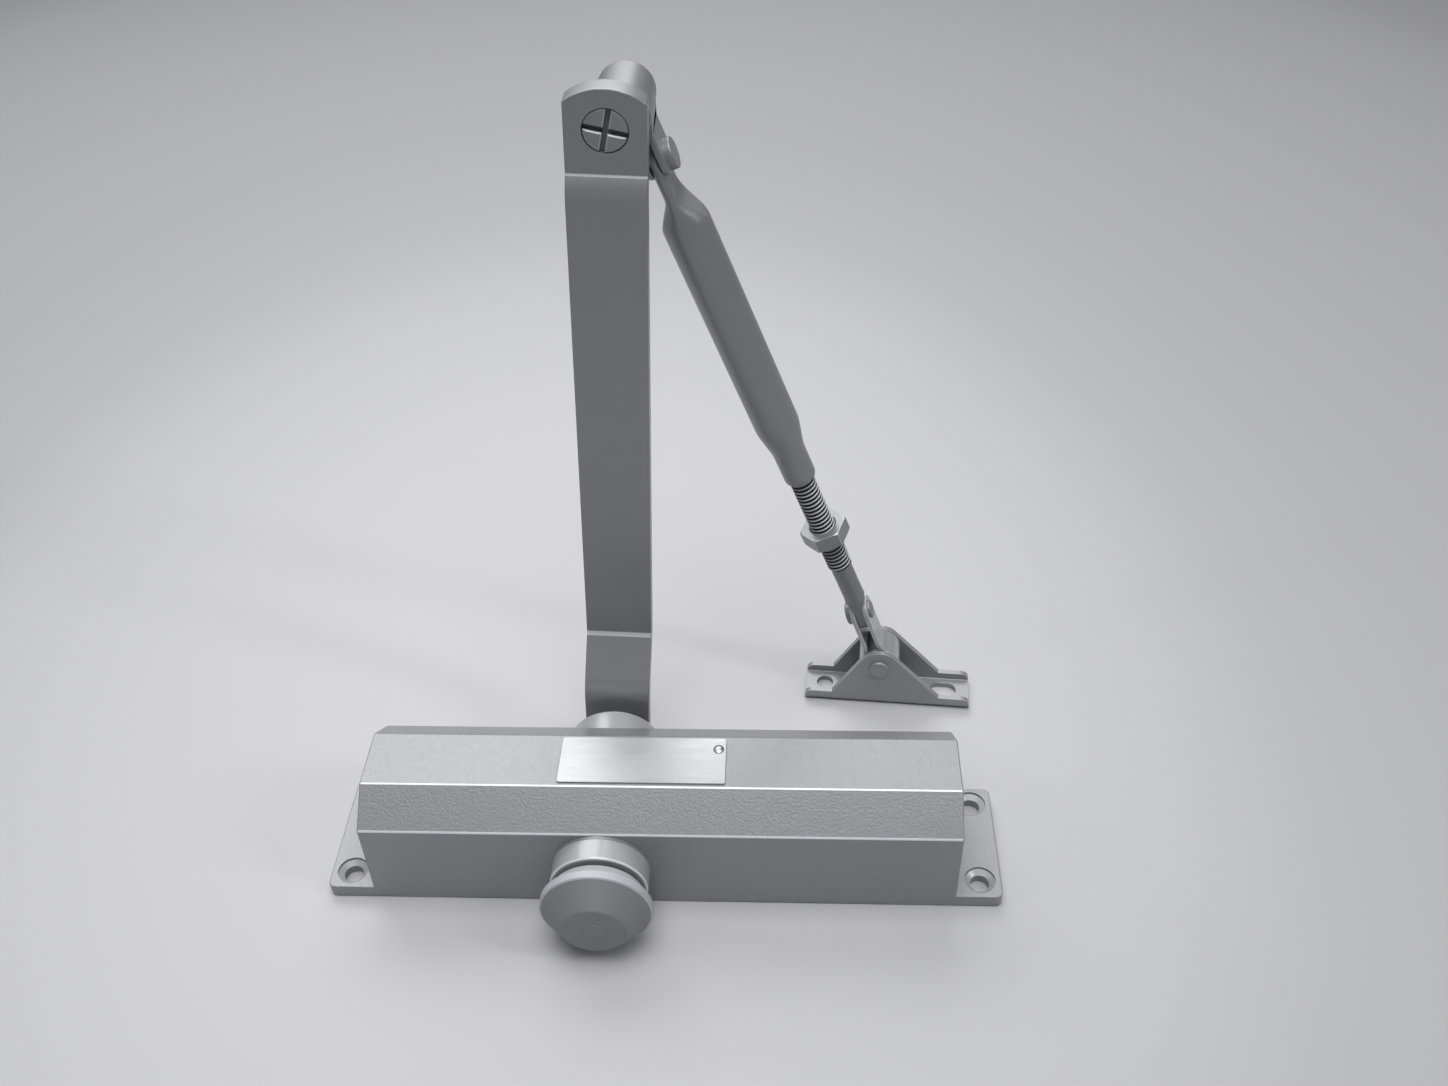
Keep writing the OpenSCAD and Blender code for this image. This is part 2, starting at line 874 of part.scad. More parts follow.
module piston() {
    spaces = ceil((slot_x1 - slot_x0) / tooth_p);
    slot_z0 = spindle_z - tip_r - 0.4;
    pocket_r = ball_d / 2 + 0.2;
    color(steel)
        difference() {
            translate([0, 0, bore_z])
                along_x(piston_x0)
                    cylinder(d = bore_d - 2 * run, h = piston_x1 - piston_x0);
            translate([slot_x0, -far / 2, slot_z0])
                cube([slot_x1 - slot_x0, far, rack_tip_z - slot_z0]);
            intersection() {
                across_body(-far / 2, far / 2)
                    for (i = [-spaces:2])
                        translate([sx + i * tooth_p, 0])
                            rack_space();
                translate([slot_x0, -far / 2, 0])
                    cube([slot_x1 - slot_x0, far, far]);
            }
            translate([0, 0, bore_z]) {
                along_x(piston_x0 - eps)
                    cylinder(r = pocket_r, h = head_l - 3);
                along_x(piston_x0)
                    cylinder(d = ball_d * 0.6, h = head_l + eps);
            }
        }
}

module check_ball() {
    seat_x = piston_x0 + head_l - 3 - eps;
    rise = sqrt(pow(ball_d / 2, 2) - pow(ball_d * 0.3, 2));
    color(bright)
        translate([seat_x - rise - 0.05, 0, bore_z])
            sphere(d = ball_d, $fn = 48);
}

module check_retainer() {
    color(steel)
        translate([0, 0, bore_z])
            along_x(piston_x0 + 0.2)
                ring(ball_d / 2 + 0.2 - run, ball_d * 0.3, 2);
}

// Pinion shaft
function inv(r) = let (a = acos(base_r / r)) tan(a) * 180 / PI - a;
function flank_angle(r) =
    90 / pinion_z - backlash / 4 / pitch_r * 180 / PI + inv(pitch_r) - inv(max(r, base_r));
function polar(r, a) = r * [cos(a), sin(a)];

module pinion_outline() {
    steps = 4;
    radii = [for (i = [0:steps]) base_r + 0.001 + (tip_r - base_r - 0.001) * i / steps];
    polygon([
        for (k = [0:pinion_z - 1])
            let (mid = 90 + k * 360 / pinion_z)
                each concat(
                    [polar(root_r, mid - flank_angle(base_r))],
                    [for (i = [0:steps]) polar(radii[i], mid - flank_angle(radii[i]))],
                    [for (i = [steps:-1:0]) polar(radii[i], mid + flank_angle(radii[i]))],
                    [polar(root_r, mid + flank_angle(base_r))]
                )
    ]);
}

module square_end(l) {
    w = square_w - 2 * run;
    intersection() {
        translate([-w / 2, -w / 2, 0])
            cube([w, w, l]);
        cylinder(d = journal_d - 1, h = l);
    }
}

module pinion_shaft() {
    shaft_end = arm_y + square_l;
    color(steel)
        at_spindle()
            difference() {
                union() {
                    across_body(-pinion_w / 2, pinion_w / 2)
                        pinion_outline();
                    along_y(pinion_w / 2 - eps)
                        cylinder(d = journal_d, h = arm_y - pinion_w / 2 - gap);
                    along_y(arm_y - gap - 2 * eps)
                        rotate([0, 0, arm_lean])
                            square_end(square_l + gap);
                    mirror([0, 1, 0]) {
                        along_y(pinion_w / 2 - eps)
                            cylinder(d = journal_d, h = -cap_y - pinion_w / 2 - gap);
                        along_y(-cap_y - gap - 2 * eps)
                            square_end(cap_side_l - 1);
                    }
                }
                along_y(shaft_end - arm_screw_l - arm_screw_d / 2)
                    cylinder(d = arm_screw_d + 2 * run, h = arm_screw_l + arm_screw_d / 2 + eps);
            }
}

// Round cap on the front end of the spindle
module spindle_cap() {
    edge = 0.6;
    boss_h = 0.35;
    face = cap_side_l + cap_cone_l;
    color(paint)
        at_spindle()
            difference() {
                mirror([0, 1, 0])
                    along_y(-cap_y)
                        rotate_extrude()
                            polygon([
                                [0, 0], [cap_back_d / 2, 0], [cap_d / 2, cap_rim_at],
                                [cap_d / 2 - edge / 2, cap_side_l - edge / 2],
                                [cap_d / 2 - edge, cap_side_l],
                                [cap_disc_d / 2, face - boss_h - edge / 2],
                                [cap_disc_d / 2 - edge, face - boss_h],
                                [boss_d / 2, face - boss_h],
                                [boss_d / 2 - boss_h, face],
                                [0, face]
                            ]);
                translate([-square_w / 2, cap_y - cap_side_l + 0.5, -square_w / 2])
                    cube([square_w, cap_side_l, square_w]);
            }
}

// Main arm: a flat bar with a joggle at each end
function bend_line(y) = [
    [-far, y], [joggle_z, y], [joggle_z + joggle_l, y + joggle],
    [arm_reach - elbow_head_d - top_joggle_l + 1, y + joggle],
    [arm_reach - elbow_head_d + 1, y + joggle + top_joggle],
    [arm_reach + far, y + joggle + top_joggle]
];

module arm_side() {
    front = bend_line(arm_y);
    back = bend_line(arm_back);
    shift = arm_t * tan(atan(joggle / joggle_l) / 2);
    polygon([
        for (i = [0:5]) [front[i][1], front[i][0] + (i == 1 || i == 2 ? shift / 2 : 0)],
        for (i = [5:-1:0]) [back[i][1], back[i][0] - (i == 1 || i == 2 ? shift / 2 : 0)]
    ]);
}

module arm_front() {
    top = arm_reach + arm_over;
    half = arm_w / 2;
    shoulder = top - arm_end_r + sqrt(arm_end_r * arm_end_r - half * half);
    circle(half);
    translate([-half, 0])
        square([arm_w, shoulder]);
    intersection() {
        translate([0, top - arm_end_r])
            circle(arm_end_r, $fn = 96);
        translate([-half, arm_reach])
            square([arm_w, far]);
    }
}

module main_arm() {
    color(paint_dark)
        at_arm()
            difference() {
                intersection() {
                    rotate([90, 0, 90])
                        linear_extrude(far, center = true)
                            arm_side();
                    across_body(0, far)
                        arm_front();
                }
                translate([-square_w / 2, 0, -square_w / 2])
                    cube([square_w, arm_back + 1, square_w]);
                translate([0, 0, arm_reach]) {
                    along_y(top_arm_y - 1)
                        cylinder(d = elbow_pin_d + 2 * run, h = arm_t + 2);
                    along_y(top_arm_y - 1)
                        cylinder(d = elbow_head_d + 2 * gap, h = head_recess + 1);
                }
            }
}

module arm_washer() {
    color(bright)
        at_spindle()
            along_y(arm_back + eps)
                ring(arm_washer_d / 2, arm_screw_d / 2 + 0.3, arm_washer_t);
}

module arm_screw() {
    shaft_end = arm_y + square_l;
    color(bright)
        at_spindle()
            along_y(arm_back + arm_washer_t + 2 * eps)
                difference() {
                    union() {
                        bevelled(arm_head_d / 2, arm_head_h, 0.6);
                        translate([0, 0, -arm_washer_t - arm_back + shaft_end - arm_screw_l])
                            cylinder(d = arm_screw_d, h = arm_washer_t + arm_back - shaft_end + arm_screw_l + eps);
                    }
                    translate([0, 0, arm_head_h - 3])
                        cylinder(d = arm_head_d * 0.55, h = 3 + eps, $fn = 6);
                }
}

// Elbow
module elbow_screw() {
    pin_l = top_arm_back + elbow_washer_t + gap - top_arm_y - elbow_head_t;
    head_y = top_arm_y;
    color(paint_dark)
        at_elbow()
            difference() {
                union() {
                    along_y(head_y)
                        cylinder(d = elbow_head_d, h = elbow_head_t);
                    along_y(head_y + elbow_head_t - eps)
                        cylinder(d = elbow_pin_d, h = pin_l);
                    along_y(head_y + elbow_head_t + pin_l - 2 * eps)
                        cylinder(d = elbow_thread_d, h = barrel_l - 3);
                }
                rotate([0, 13, 0])
                    for (a = [0, 90])
                        rotate([0, a, 0])
                            translate([-far / 2, head_y - eps, -slot_w / 2])
                                cube([far, slot_t, slot_w]);
            }
}

module elbow_washer() {
    color(bright)
        at_elbow()
            along_y(top_arm_back + gap / 2)
                ring(barrel_d / 2 - barrel_off + 1, elbow_pin_d / 2 + 2 * run, elbow_washer_t);
}

module cheek_outline() {
    soft = cheek_r - 1;
    translate([-cheek_r, soft - cheek_end])
        square([2 * cheek_r, fork_drop + cheek_end - soft]);
    translate([soft - cheek_r, -cheek_end])
        square([2 * cheek_r - 2 * soft, fork_drop]);
    for (i = [-1, 1])
        translate([i * (cheek_r - soft), soft - cheek_end])
            circle(soft);
}

module elbow_knuckle() {
    root = 12;
    color(paint_dark)
        difference() {
            union() {
                at_elbow()
                    translate([barrel_off, 0, 0])
                        along_y(barrel_y)
                            bevelled(barrel_d / 2, barrel_l, 1.2);
                at_fork() {
                    rotate([90, 0, 90])
                        linear_extrude(fork_t, center = true)
                            cheek_outline();
                    translate([-fork_side - barrel_off, -cheek_r, root])
                        cube([fork_side + barrel_off, 2 * cheek_r, fork_drop - root]);
                }
            }
            at_elbow()
                along_y(barrel_y - 1)
                    cylinder(d = elbow_thread_d + 2 * run, h = barrel_l + 2);
            at_fork() {
                along_x(-fork_slot / 2)
                    cylinder(r = cheek_r + 2 * gap, h = fork_slot);
                translate([-fork_slot / 2, -far / 2, -far])
                    cube([fork_slot, far, far]);
                along_x(-far / 2)
                    cylinder(d = elbow_rivet_d + 2 * run, h = far);
            }
        }
}

module elbow_rivet() {
    color(paint_dark)
        at_fork() {
            along_x(-fork_t / 2 - eps)
                cylinder(d = elbow_rivet_d, h = fork_t + 2 * eps);
            along_x(fork_t / 2 + eps)
                bevelled(elbow_rivet_head_d / 2, elbow_rivet_h, 0.5);
            mirror([1, 0, 0])
                along_x(fork_t / 2 + eps)
                    bevelled(elbow_rivet_head_d / 2 - 1, elbow_rivet_h * 0.7, 0.7);
        }
}

// Forearm tube: flat tongue, round tube, cone and threaded neck
module forearm_tube() {
    lip = 0.9;
    color(paint_dark)
        at_forearm()
            difference() {
                union() {
                    along_x(-tongue_t / 2)
                        cylinder(r = tongue_w / 2, h = tongue_t);
                    translate([-tongue_t / 2, -tongue_w / 2, -flat_to - eps])
                        cube([tongue_t, tongue_w, flat_to + eps]);
                    hull() {
                        translate([-tongue_t / 2, -tongue_w / 2, -flat_to - eps])
                            cube([tongue_t, tongue_w, eps]);
                        translate([0, 0, -flat_from])
                            cylinder(d = tube_d, h = eps, $fn = 48);
                    }
                    rotate_extrude()
                        polygon([
                            [0, -flat_from], [tube_d / 2, -flat_from],
                            [tube_d / 2, -tube_l + neck_l + cone_l],
                            [neck_d / 2, -tube_l + neck_l], [neck_d / 2, -tube_l + 2 * lip],
                            [neck_d / 2 - lip, -tube_l], [0, -tube_l]
                        ]);
                }
                rotate_extrude()
                    polygon([
                        [0, -flat_from - 2], [tube_d / 2 - tube_wall, -flat_from - 4],
                        [tube_d / 2 - tube_wall, -tube_l + neck_l + cone_l],
                        [thread_d / 2 + run, -tube_l + neck_l],
                        [thread_d / 2 + run, -tube_l - eps], [0, -tube_l - eps]
                    ]);
                along_x(-far / 2)
                    cylinder(d = elbow_rivet_d + 2 * run, h = far);
            }
}

// Adjusting rod: ridged thread, plain shank and flattened eye
module rod_thread() {
    turns = floor((rod_out + rod_in - thread_from) / pitch);
    r = thread_d / 2;
    z1 = thread_from + turns * pitch;
    rotate_extrude()
        polygon(concat(
            [[0, thread_from]],
            [
                for (i = [0:turns - 1])
                    each [
                        [r - thread_t, thread_from + i * pitch],
                        [r, thread_from + (i + 0.4) * pitch],
                        [r, thread_from + (i + 0.6) * pitch]
                    ]
            ],
            [[r - thread_t, z1], [0, z1]]
        ));
}

module rod_end() {
    full = strap_over + 0.6;
    top = full + eye_taper;
    wide = eye_w / 2 + 0.4;
    low = -eye_end - 1;
    r = shank_d / 2;
    intersection() {
        rotate_extrude()
            polygon([
                [0, low], [wide, low], [wide, full], [r, top],
                [r, thread_from + 0.25 * pitch], [0, thread_from + 0.25 * pitch]
            ]);
        across_body(-far / 2, far / 2)
            polygon([
                [-eye_t / 2, low], [eye_t / 2, low], [eye_t / 2, full],
                [wide, top + 0.5], [wide, far], [-wide, far], [-wide, top + 0.5],
                [-eye_t / 2, full]
            ]);
        rotate([90, 0, 90])
            linear_extrude(far, center = true) {
                translate([0, -eye_end + eye_w / 2])
                    circle(eye_w / 2);
                translate([-eye_w / 2, -eye_end + eye_w / 2])
                    square([eye_w, far]);
            }
    }
}

module adjusting_rod() {
    color(paint_dark)
        at_rod()
            difference() {
                union() {
                    rod_thread();
                    rod_end();
                }
                along_x(-far / 2)
                    cylinder(d = rod_rivet_d + 2 * run, h = far);
            }
}

module lock_nut() {
    r = nut_af / 2 / cos(30);
    color(steel)
        at_rod()
            translate([0, 0, nut_at - nut_t / 2])
                rotate([0, 0, nut_turn])
                    difference() {
                        intersection() {
                            cylinder(r = r, h = nut_t, $fn = 6);
                            rotate_extrude()
                                polygon([
                                    [0, 0], [r - 1.5 * nut_edge, 0], [r, nut_edge], [r, nut_t - nut_edge],
                                    [r - 1.5 * nut_edge, nut_t], [0, nut_t]
                                ]);
                        }
                        translate([0, 0, -eps])
                            cylinder(r = thread_d / 2 + run, h = nut_t + 2 * eps);
                    }
}

// Link strap: a folded strip with a loop around the sleeve
module strap_outline(inset) {
    r = loop_r - inset;
    x = neck_out - inset;
    c = flare_r + inset;
    top = strap_over + eps + inset * far;
    touch_x = flare_x * r / (loop_r + flare_r);
    touch_z = flare_z * r / (loop_r + flare_r);
    translate([0, -link_l]) {
        circle(r);
        translate([-x, flare_z])
            square([2 * x, link_l - flare_z + top]);
        difference() {
            polygon([
                [-touch_x, touch_z], [touch_x, touch_z], [flare_x, flare_z], [-flare_x, flare_z]
            ]);
            for (i = [-1, 1])
                translate([i * flare_x, flare_z])
                    circle(c);
        }
    }
}

module link_strap() {
    color(paint)
        at_link()
            difference() {
                intersection() {
                    across_body(-strap_w / 2, strap_w / 2)
                        difference() {
                            strap_outline(0);
                            strap_outline(strap_t);
                        }
                    rotate([90, 0, 90])
                        linear_extrude(far, center = true) {
                            translate([0, strap_over - strap_w / 2])
                                circle(strap_w / 2);
                            translate([-strap_w / 2, -far])
                                square([strap_w, far + strap_over - strap_w / 2]);
                        }
                }
                along_x(-far / 2)
                    cylinder(d = rod_rivet_d + 2 * run, h = far);
            }
}

module rod_rivet() {
    color(paint)
        at_link() {
            along_x(-neck_out - eps)
                cylinder(d = rod_rivet_d, h = 2 * neck_out + 2 * eps);
            mirror([1, 0, 0])
                along_x(neck_out + eps)
                    bevelled(rod_head_d / 2, rod_head_h, 0.5);
            along_x(neck_out + eps)
                bevelled(rod_end_d / 2, rod_end_h, 0.5);
        }
}

// Foot bracket
function tangent_point(p, r, side) =
    let (d = norm(p), a = acos(r / d), b = atan2(p[1], p[0]))
        r * [cos(b + side * a), sin(b + side * a)];

module foot_cheek() {
    left = -pivot_at;
    right = foot_l - pivot_at;
    low = -pivot_h;
    lip_z = low + lip_h;
    left_p = [left + lip_left, lip_z];
    right_p = [right - lip_right, lip_z];
    soft = 1.8;
    circle(foot_r, $fn = 96);
    polygon([
        [left, low], [right, low], [right, lip_z - soft], [right - soft * 0.3, lip_z - soft * 0.3],
        [right - soft, lip_z], right_p, tangent_point(right_p, foot_r, 1), [0, 0],
        tangent_point(left_p, foot_r, -1), left_p, [left + soft, lip_z],
        [left + soft * 0.3, lip_z - soft * 0.3], [left, lip_z - soft]
    ]);
}

module foot_bracket() {
    slot_x = foot_hole_at + foot_slot_dx - pivot_at;
    slot_half = (foot_slot_l - foot_hole_d) / 2;
    color(paint)
        at_foot()
            difference() {
                union() {
                    translate([-pivot_at, -foot_w / 2, -pivot_h])
                        cube([foot_l, foot_w, foot_t]);
                    across_body(-foot_w / 2, -foot_w / 2 + foot_t)
                        foot_cheek();
                    across_body(foot_w / 2 - foot_t, foot_w / 2)
                        foot_cheek();
                }
                along_y(-far / 2)
                    cylinder(d = pivot_d + 2 * run, h = far);
                translate([foot_hole_at - pivot_at, 0, -pivot_h - 1])
                    cylinder(d = foot_hole_d, h = foot_t + 2);
                for (i = [-1, 1])
                    translate([slot_x + i * slot_half, 0, -pivot_h - 1])
                        cylinder(d = foot_hole_d, h = foot_t + 2);
                translate([slot_x - slot_half, -foot_hole_d / 2, -pivot_h - 1])
                    cube([2 * slot_half, foot_hole_d, foot_t + 2]);
            }
}

module foot_sleeve() {
    ribs = floor(sleeve_l / rib_pitch);
    rest = (sleeve_l - ribs * rib_pitch) / 2;
    root = sleeve_r - rib_t;
    color(steel)
        at_foot()
            along_y(-sleeve_l / 2)
                rotate_extrude()
                    polygon(concat(
                        [[pivot_d / 2 + run, 0], [root, 0]],
                        [
                            for (i = [0:ribs - 1])
                                each [
                                    [root, rest + (i + 0.1) * rib_pitch],
                                    [sleeve_r, rest + (i + 0.35) * rib_pitch],
                                    [sleeve_r, rest + (i + 0.65) * rib_pitch],
                                    [root, rest + (i + 0.9) * rib_pitch]
                                ]
                        ],
                        [[root, sleeve_l], [pivot_d / 2 + run, sleeve_l]]
                    ));
}

module foot_rivet() {
    color(paint)
        at_foot() {
            along_y(-foot_w / 2 - eps)
                cylinder(d = pivot_d, h = foot_w + 2 * eps);
            along_y(foot_w / 2 + eps)
                bevelled(pivot_head_d / 2, pivot_head_h, 0.4);
            mirror([0, 1, 0])
                along_y(foot_w / 2 + eps)
                    bevelled(pivot_head_d / 2, pivot_head_h, 0.4);
        }
}

housing();
left_end_plug();
right_end_plug();
left_plug_ring();
right_plug_ring();
front_collar();
rear_collar();
front_bearing();
rear_bearing();
front_seal();
rear_seal();
closing_valve();
latching_valve();
valve_rings();
name_plate();
plate_rivet();
main_spring();
spring_seat();
piston();
check_ball();
check_retainer();
pinion_shaft();
spindle_cap();
main_arm();
arm_washer();
arm_screw();
elbow_screw();
elbow_washer();
elbow_knuckle();
elbow_rivet();
forearm_tube();
adjusting_rod();
lock_nut();
link_strap();
rod_rivet();
foot_bracket();
foot_sleeve();
foot_rivet();
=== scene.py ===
"""Overhead door closer with its jointed arm and foot bracket, dressed for a studio picture.

The object stands in the row's frame: X along the body, Y towards the arm and Z away from the
mounting face. Sizes are in millimetres until a piece is placed; the scene itself is in metres.
"""

import json
import logging
import math
from dataclasses import dataclass, field, replace
from enum import Enum
from typing import Callable, Iterable, Sequence

import bpy
from mathutils import Matrix, Vector


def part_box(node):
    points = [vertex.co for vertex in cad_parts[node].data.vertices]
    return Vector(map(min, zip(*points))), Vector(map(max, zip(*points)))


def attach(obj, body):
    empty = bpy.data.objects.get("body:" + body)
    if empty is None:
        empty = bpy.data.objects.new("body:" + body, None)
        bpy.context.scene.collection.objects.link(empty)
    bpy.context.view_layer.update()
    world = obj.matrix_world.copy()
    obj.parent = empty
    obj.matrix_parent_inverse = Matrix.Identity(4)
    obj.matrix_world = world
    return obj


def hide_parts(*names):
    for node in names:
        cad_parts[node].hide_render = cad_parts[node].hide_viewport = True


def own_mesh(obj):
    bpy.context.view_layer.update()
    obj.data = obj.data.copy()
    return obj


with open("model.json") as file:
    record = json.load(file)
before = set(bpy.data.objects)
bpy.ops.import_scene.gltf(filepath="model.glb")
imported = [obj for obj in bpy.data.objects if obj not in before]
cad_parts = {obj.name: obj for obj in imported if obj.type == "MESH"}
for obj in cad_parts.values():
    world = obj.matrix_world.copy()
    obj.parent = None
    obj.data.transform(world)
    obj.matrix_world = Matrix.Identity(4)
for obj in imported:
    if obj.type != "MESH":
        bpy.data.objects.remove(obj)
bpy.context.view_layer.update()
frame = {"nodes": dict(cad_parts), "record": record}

MM = 0.001
FULL_TURN = 2 * math.pi
WELD = 1e-4  # points nearer than this, in mm, become one
FINE_WELD = 1e-5
PLAY = 0.05  # gap between two pieces that fit in one another, in mm
THROUGH = 20.0  # how far a cutter reaches to both sides, in mm
FLOOR_GAP = 0.0002  # in metres
log = logging.getLogger("door_closer")

Point2 = tuple[float, float]
Point3 = tuple[float, float, float]


class Body(Enum):
    """The rigid bodies that pieces ride on."""

    CLOSER = "closer_body"
    SPINDLE = "spindle_body"
    ELBOW = "elbow_body"
    TUBE = "tube_body"
    ROD = "rod_body"
    NUT = "nut_body"
    LINK = "link_body"
    FOOT = "foot_body"


class Slot(Enum):
    """The record's material slots."""

    CAST_PAINT = "cast_paint"
    CAP_PAINT = "cap_paint"
    ARM_PAINT = "arm_paint"
    FOOT_PAINT = "foot_paint"
    BRIGHT_STEEL = "bright_steel"
    STEEL = "steel"
    ROD_STEEL = "rod_steel"
    NUT_STEEL = "nut_steel"
    STRAP_STEEL = "strap_steel"
    PLATE = "plate_aluminium"
    RUBBER = "seal_rubber"


class Facing(Enum):
    """How a flat outline stands: its local X, Y and the direction that it is extruded along."""

    UP = "xy"
    FRONT = "xz"
    END = "yz"

    def matrix(self) -> Matrix:
        """Return the rotation from the outline's own axes to the row's."""
        if self is Facing.FRONT:
            return Matrix(((1, 0, 0, 0), (0, 0, -1, 0), (0, 1, 0, 0), (0, 0, 0, 1)))
        if self is Facing.END:
            return Matrix(((0, 0, 1, 0), (1, 0, 0, 0), (0, 1, 0, 0), (0, 0, 0, 1)))
        return Matrix.Identity(4)


@dataclass(frozen=True)
class Finish:
    """A painted or metal surface, with its grain, mottling and brush marks.

    Attributes:
        slot: The material slot that this finish fills.
        colour: Linear base colour.
        metallic: How metallic the surface is, from 0 to 1.
        roughness: Mean roughness.
        roughness_spread: How far the roughness wanders either way.
        mottle: How far the colour wanders either way, as a share.
        mottle_size: Size of the colour patches, in mm.
        grain_size: Size of the surface grain, in mm.
        grain_depth: Depth of the grain, in mm.
        brush: How much the grain is drawn out along each axis.
        coat: Weight of a clear coat.
        edge: How much the colour is scaled on edges, bands and creases where light and shade are painted:
            above 1 a painted highlight, below 1 a painted shadow outline; 0 where the finish has none.
        coat_roughness: Roughness of the clear coat.
    """

    slot: Slot
    colour: Point3
    metallic: float
    roughness: float
    roughness_spread: float = 0.06
    mottle: float = 0.05
    mottle_size: float = 12.0
    grain_size: float = 1.0
    grain_depth: float = 0.02
    brush: Point3 = (1.0, 1.0, 1.0)
    coat: float = 0.0
    edge: float = 0.0
    coat_roughness: float = 0.15

    def edge_light_and_wear(self) -> "Finish":
        """Return the smoother finish for edges, bands and creases, its colour scaled to paint a highlight
        there (a shadow outline on the plate).
        """
        painted_edge_colour = tuple(min(0.9, channel * self.edge) for channel in self.colour)
        return replace(
            self, colour=painted_edge_colour, metallic=0.12, roughness=self.roughness * 0.9, mottle=0.03,
            grain_depth=min(self.grain_depth, 0.01), edge=0.0,
        )

    def build(self, ending: str = "") -> bpy.types.Material:
        """Make the finish as a node material.

        Args:
            ending: What is added to the slot's name.

        Returns:
            The material.
        """
        material = bpy.data.materials.new(self.slot.value + ending)
        material.use_nodes = True
        tree = material.node_tree
        shader = tree.nodes["Principled BSDF"]
        shader.inputs["Metallic"].default_value = self.metallic
        shader.inputs["Coat Weight"].default_value = self.coat
        shader.inputs["Coat Roughness"].default_value = self.coat_roughness
        place = tree.nodes.new("ShaderNodeTexCoord")
        stretch = tree.nodes.new("ShaderNodeMapping")
        stretch.inputs["Scale"].default_value = self.brush
        tree.links.new(place.outputs["Object"], stretch.inputs["Vector"])
        patches = self._noise(tree, place.outputs["Object"], self.mottle_size, 4.0)
        grain = self._noise(tree, stretch.outputs["Vector"], self.grain_size, 6.0)
        tree.links.new(self._tint(tree, patches, grain), shader.inputs["Base Color"])
        dull = tree.nodes.new("ShaderNodeMapRange")
        limits = {
            "From Min": 0.3,
            "From Max": 0.7,
            "To Min": max(0.05, self.roughness - self.roughness_spread),
            "To Max": min(1.0, self.roughness + self.roughness_spread),
        }
        for name, value in limits.items():
            dull.inputs[name].default_value = value
        tree.links.new(grain, dull.inputs["Value"])
        tree.links.new(dull.outputs["Result"], shader.inputs["Roughness"])
        bump = tree.nodes.new("ShaderNodeBump")
        bump.inputs["Strength"].default_value = 1.0
        bump.inputs["Distance"].default_value = self.grain_depth * MM
        tree.links.new(grain, bump.inputs["Height"])
        tree.links.new(bump.outputs["Normal"], shader.inputs["Normal"])
        return material

    def _tint(
        self, tree: bpy.types.NodeTree, patches: bpy.types.NodeSocket, grain: bpy.types.NodeSocket
    ) -> bpy.types.NodeSocket:
        """Let the colour wander between a darker and a lighter one.

        Args:
            tree: The material's nodes.
            patches: The noise that makes the patches.
            grain: The finer noise, which counts as much.

        Returns:
            The mixed colour.
        """
        tint = tree.nodes.new("ShaderNodeMix")
        tint.data_type = "RGBA"
        for socket, share in (("A", 1 - self.mottle), ("B", 1 + self.mottle)):
            colour = [min(1.0, channel * share) for channel in self.colour]
            named = next(s for s in tint.inputs if s.name == socket and s.type == "RGBA")
            named.default_value = (*colour, 1.0)
        half, blend = tree.nodes.new("ShaderNodeMath"), tree.nodes.new("ShaderNodeMath")
        half.operation, blend.operation = "MULTIPLY", "MULTIPLY_ADD"
        half.inputs[1].default_value = blend.inputs[1].default_value = 0.5
        tree.links.new(patches, half.inputs[0])
        tree.links.new(grain, blend.inputs[0])
        tree.links.new(half.outputs[0], blend.inputs[2])
        tree.links.new(blend.outputs[0], tint.inputs["Factor"])
        return next(s for s in tint.outputs if s.type == "RGBA")

    @staticmethod
    def _noise(
        tree: bpy.types.NodeTree, vector: bpy.types.NodeSocket, size: float, detail: float
    ) -> bpy.types.NodeSocket:
        """Add a noise texture.

        Args:
            tree: The material's nodes.
            vector: The coordinates it reads.
            size: Size of its patches, in mm.
            detail: How many finer layers it has.

        Returns:
            The noise's factor, from 0 to 1.
        """
        noise = tree.nodes.new("ShaderNodeTexNoise")
        noise.inputs["Scale"].default_value = 1 / (size * MM)
        noise.inputs["Detail"].default_value = detail
        noise.inputs["Roughness"].default_value = 0.6
        tree.links.new(vector, noise.inputs["Vector"])
        return noise.outputs["Factor" if "Factor" in noise.outputs else "Fac"]
